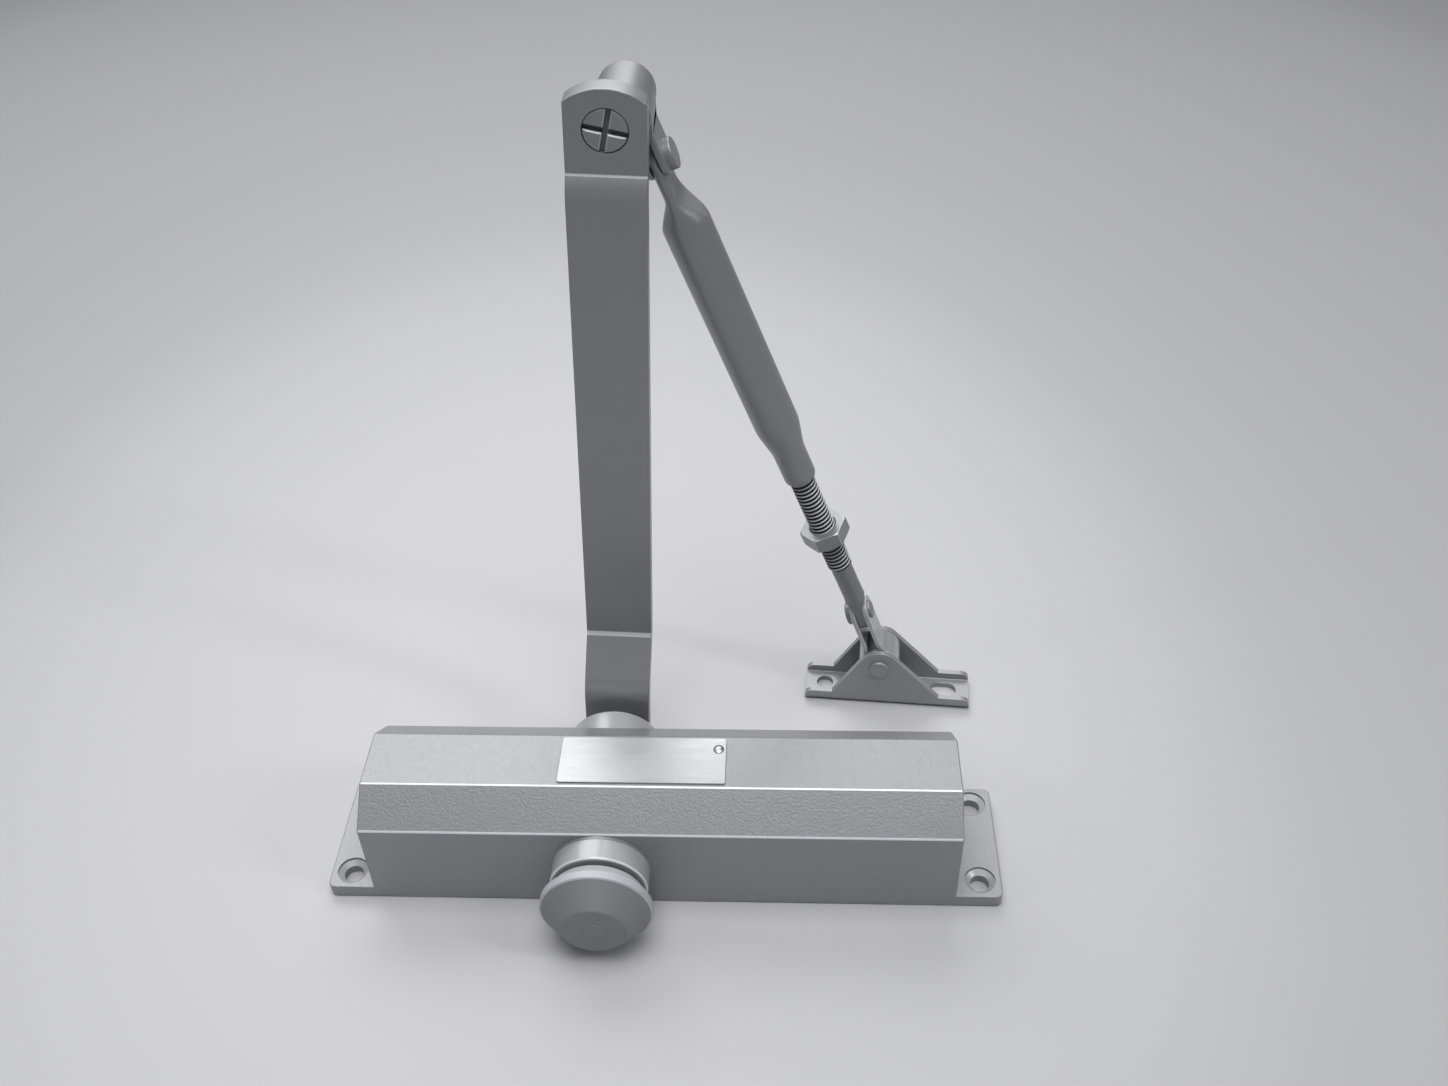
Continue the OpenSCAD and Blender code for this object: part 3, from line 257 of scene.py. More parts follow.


# Finishes by slot. An edge factor sets the edge finish, which paints a highlight on that slot's edges, bands
# and creases; on the plate (0.5) it paints a shadow outline instead.
FINISHES = (
    Finish(
        Slot.CAST_PAINT, (0.28, 0.29, 0.30), metallic=0.45, roughness=0.42, roughness_spread=0.1,
        mottle=0.14, mottle_size=2.6, grain_size=0.8, grain_depth=0.15, coat=0.15, edge=2.55,
    ),
    Finish(
        Slot.CAP_PAINT, (0.225, 0.235, 0.245), metallic=0.35, roughness=0.56, roughness_spread=0.05,
        mottle=0.03, mottle_size=14.0, grain_size=0.8, grain_depth=0.02, coat=0.05, edge=1.9,
    ),
    Finish(
        Slot.ARM_PAINT, (0.26, 0.27, 0.28), metallic=0.45, roughness=0.4, roughness_spread=0.05,
        mottle=0.04, mottle_size=18.0, grain_size=0.8, grain_depth=0.025, coat=0.1, edge=2.2,
    ),
    Finish(
        Slot.FOOT_PAINT, (0.285, 0.295, 0.305), metallic=0.4, roughness=0.42, roughness_spread=0.05,
        mottle=0.05, mottle_size=8.0, grain_size=0.8, grain_depth=0.025, coat=0.1, edge=1.45,
    ),
    Finish(
        Slot.BRIGHT_STEEL, (0.37, 0.38, 0.39), metallic=0.2, roughness=0.42, roughness_spread=0.05,
        mottle=0.04, mottle_size=6.0, grain_size=0.4, grain_depth=0.006, coat=0.6, edge=1.7,
    ),
    Finish(
        Slot.STEEL, (0.50, 0.51, 0.52), metallic=1.0, roughness=0.33, roughness_spread=0.06,
        mottle=0.04, mottle_size=6.0, grain_size=0.5, grain_depth=0.006,
    ),
    Finish(
        Slot.ROD_STEEL, (0.23, 0.24, 0.25), metallic=0.45, roughness=0.42, roughness_spread=0.06,
        mottle=0.06, mottle_size=5.0, grain_size=0.5, grain_depth=0.015, edge=2.0,
    ),
    Finish(
        Slot.NUT_STEEL, (0.29, 0.30, 0.31), metallic=0.5, roughness=0.36, roughness_spread=0.06,
        mottle=0.05, mottle_size=5.0, grain_size=0.5, grain_depth=0.012, edge=1.9,
    ),
    Finish(
        Slot.STRAP_STEEL, (0.45, 0.46, 0.475), metallic=0.55, roughness=0.34, roughness_spread=0.08,
        mottle=0.14, mottle_size=2.5, grain_size=0.5, grain_depth=0.02, edge=1.35,
    ),
    Finish(
        Slot.PLATE, (0.40, 0.405, 0.41), metallic=0.75, roughness=0.4, roughness_spread=0.08,
        mottle=0.22, mottle_size=16.0, grain_size=0.5, grain_depth=0.006, brush=(0.03, 1.0, 1.0), edge=0.5,
    ),
    Finish(
        Slot.RUBBER, (0.025, 0.025, 0.026), metallic=0.0, roughness=0.55, roughness_spread=0.05,
        mottle=0.05, mottle_size=4.0, grain_size=0.6, grain_depth=0.01,
    ),
)
# Finishes for cuts: the rod one paints shade, nearly black, into the thread and the arm one paints shade into
# the elbow screw's slots; the cast one is lighter, for the countersink cones.
GROOVES = (
    Finish(
        Slot.ROD_STEEL, (0.045, 0.046, 0.048), metallic=0.2, roughness=0.6, roughness_spread=0.06,
        mottle=0.1, mottle_size=5.0, grain_size=0.5, grain_depth=0.01,
    ),
    Finish(
        Slot.ARM_PAINT, (0.20, 0.20, 0.21), metallic=0.2, roughness=0.6, roughness_spread=0.06,
        mottle=0.1, mottle_size=5.0, grain_size=0.5, grain_depth=0.01,
    ),
    Finish(
        Slot.CAST_PAINT, (0.48, 0.485, 0.49), metallic=0.5, roughness=0.42, roughness_spread=0.08,
        mottle=0.08, mottle_size=3.0, grain_size=0.5, grain_depth=0.03,
    ),
)
# Materials by slot: the plain finish, the edge finish with painted light and shade, and the cut finish.
PALETTE: dict[Slot, bpy.types.Material] = {}
EDGE_LIGHT_AND_SHADE: dict[Slot, bpy.types.Material] = {}
CUTS: dict[Slot, bpy.types.Material] = {}


def start_clean() -> None:
    """Leave edit mode and deselect everything."""
    if bpy.context.object and bpy.context.object.mode != "OBJECT":
        bpy.ops.object.mode_set(mode="OBJECT")
    bpy.ops.object.select_all(action="DESELECT")


def arc(centre: Point2, radius: float, start: float, end: float, steps: int = 12) -> list[Point2]:
    """Lay points along an arc.

    Args:
        centre: Centre of the arc.
        radius: Its radius.
        start: First angle, in degrees.
        end: Last angle, in degrees.
        steps: How many chords it has.

    Returns:
        The points from start to end.
    """
    angles = [math.radians(start + (end - start) * i / steps) for i in range(steps + 1)]
    return [(centre[0] + radius * math.cos(a), centre[1] + radius * math.sin(a)) for a in angles]


def soft_corners(points: Sequence[Point2], radii: Sequence[float], steps: int = 5) -> list[Point2]:
    """Round the corners of an open or closed run of points.

    Args:
        points: The sharp corners.
        radii: How far each corner is cut back, 0 for a sharp one.
        steps: How many chords a rounding has.

    Returns:
        The points with each corner replaced by a short curve.
    """
    done: list[Point2] = []
    count = len(points)
    for i, (point, radius) in enumerate(zip(points, radii)):
        if radius <= 0:
            done.append(point)
            continue
        here = Vector(point)
        before = Vector(points[(i - 1) % count]) - here
        after = Vector(points[(i + 1) % count]) - here
        first = here + before.normalized() * radius
        last = here + after.normalized() * radius
        for step in range(steps + 1):
            t = step / steps
            spot = first * (1 - t) ** 2 + here * 2 * t * (1 - t) + last * t**2
            done.append((spot.x, spot.y))
    return done


def rod_profile(radius: float, length: float) -> list[Point2]:
    """Return the profile of a plain round rod or cutter."""
    return [(0, 0), (radius, 0), (radius, length), (0, length)]


def rectangle(half_x: float, half_y: float) -> list[Point2]:
    """Return the corners of a rectangle round the origin."""
    return [(-half_x, -half_y), (half_x, -half_y), (half_x, half_y), (-half_x, half_y)]


def hexagon(radius: float) -> list[Point2]:
    """Return the corners of a hexagon, which lie at a radius."""
    return arc((0, 0), radius, 0, 300, 5)


def mirrored(side: Sequence[Point2]) -> list[Point2]:
    """Close an outline with the mirror picture of its right side."""
    return [*side, *((-x, z) for x, z in reversed(side))]


class Workpiece:
    """One piece on the bench, modelled in millimetres and placed at the end."""

    SLIVER = 0.004  # edges shorter than this, in mm, are closed up before a rounding
    FLAT = 0.5  # faces that meet at less than this, in degrees, become one before a rounding

    def __init__(self, thing: bpy.types.Object) -> None:
        """Hold a mesh object, which is the active one."""
        self.thing = thing

    @classmethod
    def _seed(cls, name: str, point: Point3) -> "Workpiece":
        """Start a mesh of one vertex in edit mode.

        Args:
            name: The piece's name.
            point: Where the vertex is.

        Returns:
            The piece, in edit mode with its vertex selected.
        """
        start_clean()
        bpy.ops.mesh.primitive_plane_add(size=1.0)
        thing = bpy.context.object
        thing.name = name
        thing.data.name = name
        bpy.ops.object.mode_set(mode="EDIT")
        bpy.ops.mesh.select_all(action="SELECT")
        bpy.ops.mesh.merge(type="CENTER")
        bpy.ops.transform.translate(value=point)
        return cls(thing)

    @staticmethod
    def _run(points: Sequence[Point3]) -> None:
        """Extrude the selected vertex along the points, from the first to the last."""
        for before, after in zip(points, points[1:]):
            step = tuple(b - a for a, b in zip(before, after))
            bpy.ops.mesh.extrude_region_move(TRANSFORM_OT_translate={"value": step})

    @classmethod
    def _traced(cls, name: str, points: Sequence[Point3], weld: float = WELD) -> "Workpiece":
        """Draw a run of edges through points and leave it selected in edit mode.

        Args:
            name: The piece's name.
            points: The run's points; the last is the first again where it is closed.
            weld: Points nearer than this become one.

        Returns:
            The piece, in edit mode.
        """
        piece = cls._seed(name, points[0])
        cls._run(points)
        bpy.ops.mesh.select_all(action="SELECT")
        bpy.ops.mesh.remove_doubles(threshold=weld)
        return piece

    @classmethod
    def turned(cls, name: str, profile: Sequence[Point2], steps: int = 96) -> "Workpiece":
        """Turn a piece round the Z axis, as on a lathe.

        Args:
            name: The piece's name.
            profile: Radius and height of each point of the outline.
            steps: How many faces go round it.

        Returns:
            The finished solid.
        """
        points = [(r, 0.0, z) for r, z in profile]
        if profile[0][0] > 0 or profile[-1][0] > 0:
            points.append(points[0])
        piece = cls._traced(name, points, FINE_WELD)
        bpy.ops.mesh.spin(steps=steps, angle=FULL_TURN, center=(0, 0, 0), axis=(0, 0, 1))
        bpy.ops.mesh.select_all(action="SELECT")
        bpy.ops.mesh.remove_doubles(threshold=WELD)
        piece._close()
        return piece

    @classmethod
    def slab(
        cls, name: str, outline: Sequence[Point2], low: float, high: float, facing: Facing = Facing.UP
    ) -> "Workpiece":
        """Cut a flat outline out of a plate.

        Args:
            name: The piece's name.
            outline: The closed outline's points.
            low: Where the plate starts, along its own thickness.
            high: Where the plate ends.
            facing: The plane that the outline lies in.

        Returns:
            The solid plate.
        """
        piece = cls._traced(name, [(x, y, low) for x, y in outline])
        bpy.ops.mesh.edge_face_add()
        bpy.ops.mesh.extrude_region_move(TRANSFORM_OT_translate={"value": (0, 0, high - low)})
        piece._close()
        piece.turn(facing.matrix())
        return piece

    @classmethod
    def folded(
        cls, name: str, path: Sequence[Point2], width: float, thickness: float, facing: Facing
    ) -> "Workpiece":
        """Fold a strip of sheet along a path.

        Args:
            name: The piece's name.
            path: The middle of the sheet's thickness, seen from its edge.
            width: Width of the strip, centred on the path's plane.
            thickness: Thickness of the sheet.
            facing: The plane that the path lies in.

        Returns:
            The folded strip.
        """
        piece = cls._traced(name, [(x, y, -width / 2) for x, y in path])
        bpy.ops.mesh.extrude_region_move(TRANSFORM_OT_translate={"value": (0, 0, width)})
        bpy.ops.mesh.select_all(action="SELECT")
        bpy.ops.mesh.normals_make_consistent(inside=False)
        bpy.ops.object.mode_set(mode="OBJECT")
        solid = piece.thing.modifiers.new("Solid", "SOLIDIFY")
        solid.thickness = thickness
        solid.offset = 0.0
        solid.use_even_offset = True
        bpy.ops.object.modifier_apply(modifier="Solid")
        bpy.ops.object.mode_set(mode="EDIT")
        piece._close()
        piece.turn(facing.matrix())
        return piece

    @classmethod
    def lofted(cls, name: str, stations: Sequence[Point3], sides: int) -> "Workpiece":
        """Draw a closed bar through stations along Z.

        Args:
            name: The piece's name.
            stations: Height, half width in X and half width in Y of each station.
            sides: How many faces go round it.

        Returns:
            The closed bar.
        """
        start_clean()
        height, half_x, half_y = stations[0]
        bpy.ops.mesh.primitive_circle_add(
            vertices=sides, radius=1.0, fill_type="NGON", location=(0, 0, height)
        )
        piece = cls(bpy.context.object)
        piece.thing.name = name
        piece.thing.data.name = name
        bpy.ops.object.transform_apply(location=True, rotation=True, scale=True)
        bpy.ops.object.mode_set(mode="EDIT")
        bpy.ops.mesh.select_all(action="SELECT")
        bpy.ops.transform.resize(value=(half_x, half_y, 1), center_override=(0, 0, height))
        for before, after in zip(stations, stations[1:]):
            bpy.ops.mesh.extrude_region_move(TRANSFORM_OT_translate={"value": (0, 0, after[0] - before[0])})
            wider = (after[1] / before[1], after[2] / before[2], 1)
            bpy.ops.transform.resize(value=wider, center_override=(0, 0, after[0]))
        piece._close()
        return piece

    @classmethod
    def wound(
        cls, name: str, outline: Sequence[Point2], pitch: float, turns: int, steps: int = 40
    ) -> "Workpiece":
        """Wind a closed outline round the Z axis, as a thread or a spring.

        Args:
            name: The piece's name.
            outline: Radius and height along the outline's first place.
            pitch: Rise of one turn.
            turns: Number of turns.
            steps: Number of steps in a turn.

        Returns:
            The wound piece, with both of its ends closed.
        """
        points = [(radius, 0.0, height) for radius, height in outline]
        piece = cls._traced(name, [*points, points[0]])
        bpy.ops.object.mode_set(mode="OBJECT")
        wind = piece.thing.modifiers.new("Wind", "SCREW")
        wind.axis = "Z"
        wind.angle = FULL_TURN
        wind.screw_offset = pitch
        wind.iterations = turns
        wind.steps = wind.render_steps = steps
        wind.use_normal_calculate = True
        bpy.ops.object.modifier_apply(modifier="Wind")
        bpy.ops.object.mode_set(mode="EDIT")
        bpy.ops.mesh.select_mode(type="EDGE")
        bpy.ops.mesh.select_all(action="DESELECT")
        bpy.ops.mesh.select_non_manifold()
        bpy.ops.mesh.fill_holes(sides=0)
        bpy.ops.mesh.select_mode(type="VERT")
        piece._close()
        return piece

    def _close(self) -> None:
        """Point the faces outwards and leave edit mode."""
        bpy.ops.mesh.select_all(action="SELECT")
        bpy.ops.mesh.normals_make_consistent(inside=False)
        bpy.ops.object.mode_set(mode="OBJECT")

    def _take(self) -> None:
        """Select this piece alone and make it the active one."""
        start_clean()
        self.thing.select_set(True)
        bpy.context.view_layer.objects.active = self.thing

    def _need_slots(self, count: int) -> None:
        """Give the active piece at least so many material slots."""
        while len(self.thing.material_slots) < count:
            bpy.ops.object.material_slot_add()

    def turn(self, matrix: Matrix) -> "Workpiece":
        """Move the piece by a matrix and fix its place in its mesh.

        Args:
            matrix: Where the piece goes, in millimetres.

        Returns:
            The same piece.
        """
        self._take()
        self.thing.matrix_world = matrix @ self.thing.matrix_world
        bpy.ops.object.transform_apply(location=True, rotation=True, scale=True)
        return self

    def shift(self, x: float, y: float, z: float) -> "Workpiece":
        """Move the piece by a distance along each axis, in millimetres."""
        return self.turn(Matrix.Translation((x, y, z)))

    def _combine(self, tool: "Workpiece", how: str) -> "Workpiece":
        """Combine the piece with a tool, which is used up.

        Args:
            tool: The other solid.
            how: DIFFERENCE, INTERSECT or UNION.

        Returns:
            The same piece.
        """
        self._take()
        knife = self.thing.modifiers.new("Knife", "BOOLEAN")
        knife.operation = how
        knife.solver = "EXACT"
        knife.object = tool.thing
        bpy.ops.object.modifier_apply(modifier="Knife")
        bpy.data.objects.remove(tool.thing)
        return self

    def cut(self, tool: "Workpiece") -> "Workpiece":
        """Take the tool's shape away."""
        return self._combine(tool, "DIFFERENCE")

    def drill(self, radius: float, length: float, place: Matrix, steps: int = 64) -> "Workpiece":
        """Drill a round hole.

        Args:
            radius: Radius of the hole.
            length: Length of the drill.
            place: The drill's frame: it starts at the origin and points along Z.
            steps: How many faces go round the hole.

        Returns:
            The same piece.
        """
        return self.cut(Workpiece.turned("drill", rod_profile(radius, length), steps).turn(place))

    def keep(self, tool: "Workpiece") -> "Workpiece":
        """Keep only what lies inside the tool's shape."""
        return self._combine(tool, "INTERSECT")

    def fuse(self, tool: "Workpiece") -> "Workpiece":
        """Weld the tool's shape on."""
        return self._combine(tool, "UNION")

    def join(self, other: "Workpiece") -> "Workpiece":
        """Keep another closed solid in the same piece, without welding it."""
        self._take()
        other.thing.select_set(True)
        bpy.ops.object.join()
        return self

    def round_edges(
        self, width: float, segments: int = 3, angle: float = 32.0, painted_edges: bool = True
    ) -> "Workpiece":
        """Round the edges that are sharper than an angle.

        Args:
            width: Width of the rounding, in mm.
            segments: How many faces it has.
            angle: The least angle between two faces that counts as an edge, in degrees.
            painted_edges: Whether the rounded edges get the edge finish, which paints a highlight on them (a
                shadow outline on the plate).

        Returns:
            The same piece.
        """
        self._take()
        self._need_slots(2)
        bpy.ops.object.mode_set(mode="EDIT")
        bpy.ops.mesh.select_all(action="SELECT")
        bpy.ops.mesh.remove_doubles(threshold=self.SLIVER)
        bpy.ops.mesh.dissolve_limited(angle_limit=math.radians(self.FLAT))
        bpy.ops.object.mode_set(mode="OBJECT")
        bevel = self.thing.modifiers.new("Edges", "BEVEL")
        bevel.width = width
        bevel.segments = segments
        bevel.limit_method = "ANGLE"
        bevel.angle_limit = math.radians(angle)
        bevel.use_clamp_overlap = True
        # Rounded edges take slot 1, the edge finish with a painted highlight.
        bevel.material = 1 if painted_edges else 0
        bevel.miter_outer = "MITER_ARC"
        bpy.ops.object.modifier_apply(modifier="Edges")
        return self

    def paint_faces(self, picked: Callable[[bpy.types.MeshPolygon], bool], finish: int = 1) -> "Workpiece":
        """Give one of the piece's finishes to the faces that a test picks.

        Args:
            picked: The test, which looks at a face's middle and normal.
            finish: 0 for the main finish, 1 for the edge finish with a painted highlight and 2 for the cut
                finish, mostly painted shade.

        Returns:
            The same piece.
        """
        self._take()
        self._need_slots(finish + 1)
        for face in self.thing.data.polygons:
            if picked(face):
                face.material_index = finish
        return self

    def paint_band(self, low: float, high: float, finish: int = 1) -> "Workpiece":
        """Give a finish to the faces whose middles lie between two heights."""
        return self.paint_faces(lambda face: low < face.center.z < high, finish)

    def done(
        self, body: Body, slot: Slot, nodes: Iterable[str], place: Matrix | None = None, smooth: float = 30.0
    ) -> bpy.types.Object:
        """Place the finished piece, dress it and let it ride on its body.

        Args:
            body: The body it moves with.
            slot: The finish it gets.
            nodes: The nodes of the frame that it stands for.
            place: Where it goes, in millimetres.
            smooth: Faces that meet at less than this angle, in degrees, look like one surface.

        Returns:
            The object in the scene.
        """
        scale = Matrix.Diagonal((MM, MM, MM, 1.0))
        self.turn(scale @ (place or Matrix.Identity(4)))
        bpy.ops.object.shade_smooth_by_angle(angle=math.radians(smooth))
        even = self.thing.modifiers.new("Even", "WEIGHTED_NORMAL")
        even.keep_sharp = True
        bpy.ops.object.modifier_apply(modifier="Even")
        self._need_slots(2)
        # Slot 1 takes the edge finish with painted light and shade, slot 2 the cut finish.
        for holder, finishes in zip(self.thing.material_slots, (PALETTE, EDGE_LIGHT_AND_SHADE, CUTS)):
            holder.material = finishes[slot]
        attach(self.thing, body.value)
        names = tuple(nodes)
        if names:
            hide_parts(*names)
        log.info("%s: %d faces", self.thing.name, len(self.thing.data.polygons))
        return self.thing


def along_y(start: float, back: bool = False) -> Matrix:
    """Stand a turned piece on the Y axis.

    Args:
        start: Where its base is.
        back: True if it points towards -Y.

    Returns:
        The matrix from the piece's own frame.
    """
    turn = math.pi / 2 if back else -math.pi / 2
    return Matrix.Translation((0, start, 0)) @ Matrix.Rotation(turn, 4, "X")


def along_x(start: float, back: bool = False) -> Matrix:
    """Stand a turned piece on the X axis, pointing towards -X if back is true."""
    turn = -math.pi / 2 if back else math.pi / 2
    return Matrix.Translation((start, 0, 0)) @ Matrix.Rotation(turn, 4, "Y")


def rivet_profile(shank: float, depth: float, head: float, height: float, edge: float) -> list[Point2]:
    """Draw a rivet or pin with its head upwards from height 0.

    Args:
        shank: Radius of the shank.
        depth: How far the shank goes below 0.
        head: Radius of the head.
        height: Height of the head.
        edge: Rounding at the head's rim.

    Returns:
        The profile for turning.
    """
    rim = arc((head - edge, height - edge), edge, 0, 90, 5)
    return [(0, -depth), (shank, -depth), (shank, 0), (head, 0), *rim, (0, height)]


@dataclass
class Linkage:
    """Where the jointed arm's pieces stand, worked out as a chain from spindle to bracket."""

    spindle: Point2 = (-20.6, 19.6)
    arm_reach: float = 233.4
    arm_lean: float = 2.8
    fork_y: float = 74.0
    fork_drop: float = 20.0
    fork_side: float = 6.1
    tube_length: float = 132.2
    rod_out: float = 72.6
    link_length: float = 24.9
    pivot_height: float = 20.0
    forearm_tilt: float = 1.98
    foot_turn: float = 4.4
    first_lean: float = 20.0
    lean_rounds: int = 8
    forearm_lean: float = field(init=False)
    link_lean: float = field(init=False)

    def __post_init__(self) -> None:
        """Solve the lean that stands the bracket on the ground."""
        tilt, turn = math.radians(self.forearm_tilt), math.radians(self.foot_turn)
        lean = math.radians(self.first_lean)
        for _ in range(self.lean_rounds):
            off = math.cos(tilt) * math.sin(lean) * math.sin(turn) + math.sin(tilt) * math.cos(turn)
            reach = self.tube_length + self.rod_out + self.link_length / math.sqrt(1 - off * off)
            drop = self.fork_drop + math.cos(tilt) * reach
            height = self.elbow[1] - self.pivot_height
            lean = math.acos(height / math.hypot(drop, self.fork_side)) - math.atan2(self.fork_side, drop)
        self.forearm_lean = lean
        down = self.forearm_direction
        self.link_lean = math.atan2(down.dot(self.foot_direction), -down.z)

    @property
    def elbow(self) -> Point2:
        """The elbow screw's place, across the spindle."""
        lean = math.radians(self.arm_lean)
        return (
            self.spindle[0] + self.arm_reach * math.sin(lean),
            self.spindle[1] + self.arm_reach * math.cos(lean),
        )

    @property
    def foot_direction(self) -> Vector:
        """Unit vector along the bracket."""
        turn = math.radians(self.foot_turn)
        return Vector((math.cos(turn), -math.sin(turn), 0))

    @property
    def forearm_direction(self) -> Vector:
        """Unit vector down the forearm."""
        return -(self.fork_turn @ Matrix.Rotation(math.radians(self.forearm_tilt), 4, "X")).to_3x3().col[2]

    @property
    def fork_turn(self) -> Matrix:
        """Rotation of the elbow's fork."""
        return Matrix.Rotation(-self.forearm_lean, 4, "Y")

    def at_spindle(self) -> Matrix:
        """Return the spindle's frame."""
        return Matrix.Translation((self.spindle[0], 0, self.spindle[1]))

    def at_arm(self) -> Matrix:
        """Return the frame of the main arm, with Z up the arm."""
        return self.at_spindle() @ Matrix.Rotation(math.radians(self.arm_lean), 4, "Y")

    def at_elbow(self) -> Matrix:
        """Return the elbow screw's frame."""
        return Matrix.Translation((self.elbow[0], 0, self.elbow[1]))

    def at_fork(self) -> Matrix:
        """Return the elbow rivet's frame, with Z up the forearm and X along the rivet."""
        step = self.fork_turn @ Vector((self.fork_side, 0, -self.fork_drop))
        place = Vector((self.elbow[0], self.fork_y, self.elbow[1])) + step
        return Matrix.Translation(place) @ self.fork_turn

    def at_forearm(self) -> Matrix:
        """Return the forearm's frame, with Z up the tube."""
        return self.at_fork() @ Matrix.Rotation(math.radians(self.forearm_tilt), 4, "X")

    def rod_rivet(self) -> Vector:
        """Return the place of the rivet between rod and strap."""
        return self.at_forearm() @ Vector((0, 0, -self.tube_length - self.rod_out))

    def at_rod(self) -> Matrix:
        """Return the rod's frame, turned so that its eye faces along the strap's rivet."""
        forearm = self.at_forearm()
        rivet = self.at_link().to_3x3().col[0]
        turned = forearm.to_3x3()
        twist = math.atan2(rivet.dot(turned.col[1]), rivet.dot(turned.col[0]))
        low = Matrix.Translation((0, 0, -self.tube_length - self.rod_out))
        return forearm @ low @ Matrix.Rotation(twist, 4, "Z")

    def at_link(self) -> Matrix:
        """Return the strap's frame at the rod's rivet."""
        turn = Matrix.Rotation(-math.radians(self.foot_turn), 4, "Z")
        return Matrix.Translation(self.rod_rivet()) @ turn @ Matrix.Rotation(-self.link_lean, 4, "Y")

    def at_foot(self) -> Matrix:
        """Return the bracket's frame at its rivet."""
        place = self.at_link() @ Vector((0, 0, -self.link_length))
        return Matrix.Translation(place) @ Matrix.Rotation(-math.radians(self.foot_turn), 4, "Z")


@dataclass
class CloserBody:
    """The cast body with its collars, end plugs and blank plate."""

    chain: Linkage
    length: float = 207.0
    width: float = 48.4
    height: float = 47.6
    side_height: float = 37.3
    top_width: float = 22.6
    flange_length: float = 240.0
    flange_thickness: float = 5.4
    flange_corner: float = 2.0
    hole_spacing: Point2 = (225.0, 34.0)
    hole_radius: float = 3.45
    sink_radius: float = 5.5
    sink_depth: float = 2.2
    bore_radius: float = 17.0
    bore_height: float = 21.0
    seat_radius: float = 18.5
    seat_length: float = 10.0
    collar_radius: float = 17.0
    collar_reach: float = 33.4
    collar_bore: float = 14.0
    lip_radius: float = 8.6
    plate_size: Point3 = (58.0, 20.4, 0.6)
    plate_centre: float = -6.4
    plate_rivet_radius: float = 1.9
    plate_rivet_in: float = 2.7
    valve_radius: float = 2.6
    valve_offset: float = 6.5
    valve_height: float = 43.4
    valve_length: float = 20.0
    spring_wire: float = 4.2
    spring_radius: float = 12.6
    spring_turns: int = 9
    piston_travel: float = 30.2

    def build(self) -> None:
        """Build every piece of the body."""
        self.housing()
        self.collar("front_collar", back=True)
        self.collar("rear_collar", back=False)
        self.plug("left_end_plug", -1)
        self.plug("right_end_plug", 1)
        self.plate()
        self.spring()

    def housing(self) -> None:
        """Model the casting: a faceted block on a flange, bored through and across."""
        half, top = self.width / 2, self.top_width / 2
        section = [
            (-half, 0), (half, 0), (half, self.side_height),
            (top, self.height), (-top, self.height), (-half, self.side_height),
        ]
        block = Workpiece.slab("closer_housing", section, -self.length / 2, self.length / 2, Facing.END)
        block.round_edges(0.5, 3)
        # The rounded edges carry a painted highlight; only the long front edges keep it, while the ends, the
        # back and the nearly level faces go back to plain paint.
        block.paint_faces(
            lambda face: abs(face.normal.x) > 0.05 or face.center.y > 0 or face.normal.z > 0.985, finish=0
        )
        block.fuse(self._flange())
        block.cut(self._bore("bore_cutter", self.bore_radius, self.length))
        for side in (-1, 1):
            block.cut(self._seat(side))
            for hole_side in (-1, 1):
                block.cut(self._fixing_hole(side, hole_side))
        across = Workpiece.turned("collar_cutter", rod_profile(self.collar_bore, self.width + 2), 96)
        across.turn(self.chain.at_spindle() @ along_y(-self.width / 2 - 1))
        block.cut(across)
        for back in (True, False):
            near, far = self.collar_bore - 1, self.collar_radius + 0.2
            ring = [(near, -1), (far, -1), (far, 2.4), (near, 2.4)]
            relief = Workpiece.turned("relief_cutter", ring, 128)
            wall = (-0.5 if back else 0.5) * self.width
            block.cut(relief.turn(self.chain.at_spindle() @ along_y(wall, not back)))
        for side in (-1, 1):
            profile = rod_profile(self.valve_radius + PLAY, self.valve_length + 1)
            hole = Workpiece.turned("valve_cutter", profile, 48)
            hole.turn(along_x(-self.length / 2 - 0.5)).shift(0, side * self.valve_offset, self.valve_height)
            block.cut(hole)
        cone = (self.flange_thickness - self.sink_depth, self.flange_thickness)
        block.paint_faces(
            lambda face: abs(face.center.x) > self.length / 2 and cone[0] < face.center.z < cone[1]
            and 0.2 < face.normal.z < 0.95 and abs(face.normal.z) < 0.95 and face.area < 1.0
            and face.center.z < cone[1] - 0.8, finish=2
        )
        block.done(Body.CLOSER, Slot.CAST_PAINT, ["housing"])

    def _flange(self) -> Workpiece:
        """Return the flange plate with rounded corners and edges."""
        x, y = self.flange_length / 2, self.width / 2
        corners = [(-x, -y), (x, -y), (x, y), (-x, y)]
        outline = soft_corners(corners, [self.flange_corner * 1.4] * 4, 6)
        flange = Workpiece.slab("flange", outline, 0, self.flange_thickness)
        return flange.round_edges(0.4, 3, painted_edges=False)

    def _bore(self, name: str, radius: float, length: float) -> Workpiece:
        """Return a cutter along the body's bore."""
        tool = Workpiece.turned(name, rod_profile(radius, length + 2), 96)
        return tool.turn(along_x(-length / 2 - 1)).shift(0, 0, self.bore_height)

    def _seat(self, side: int) -> Workpiece:
        """Return the cutter for one plug's threaded seat, with a chamfered mouth."""
        edge = 0.6
        reach = self.seat_length
        profile = [
            (0, -1), (self.seat_radius + edge + 1, -1), (self.seat_radius, edge),
            (self.seat_radius, reach), (0, reach),
        ]
        tool = Workpiece.turned("seat_cutter", profile, 96)
        tool.turn(along_x(side * self.length / 2, back=side > 0))
        return tool.shift(0, 0, self.bore_height)

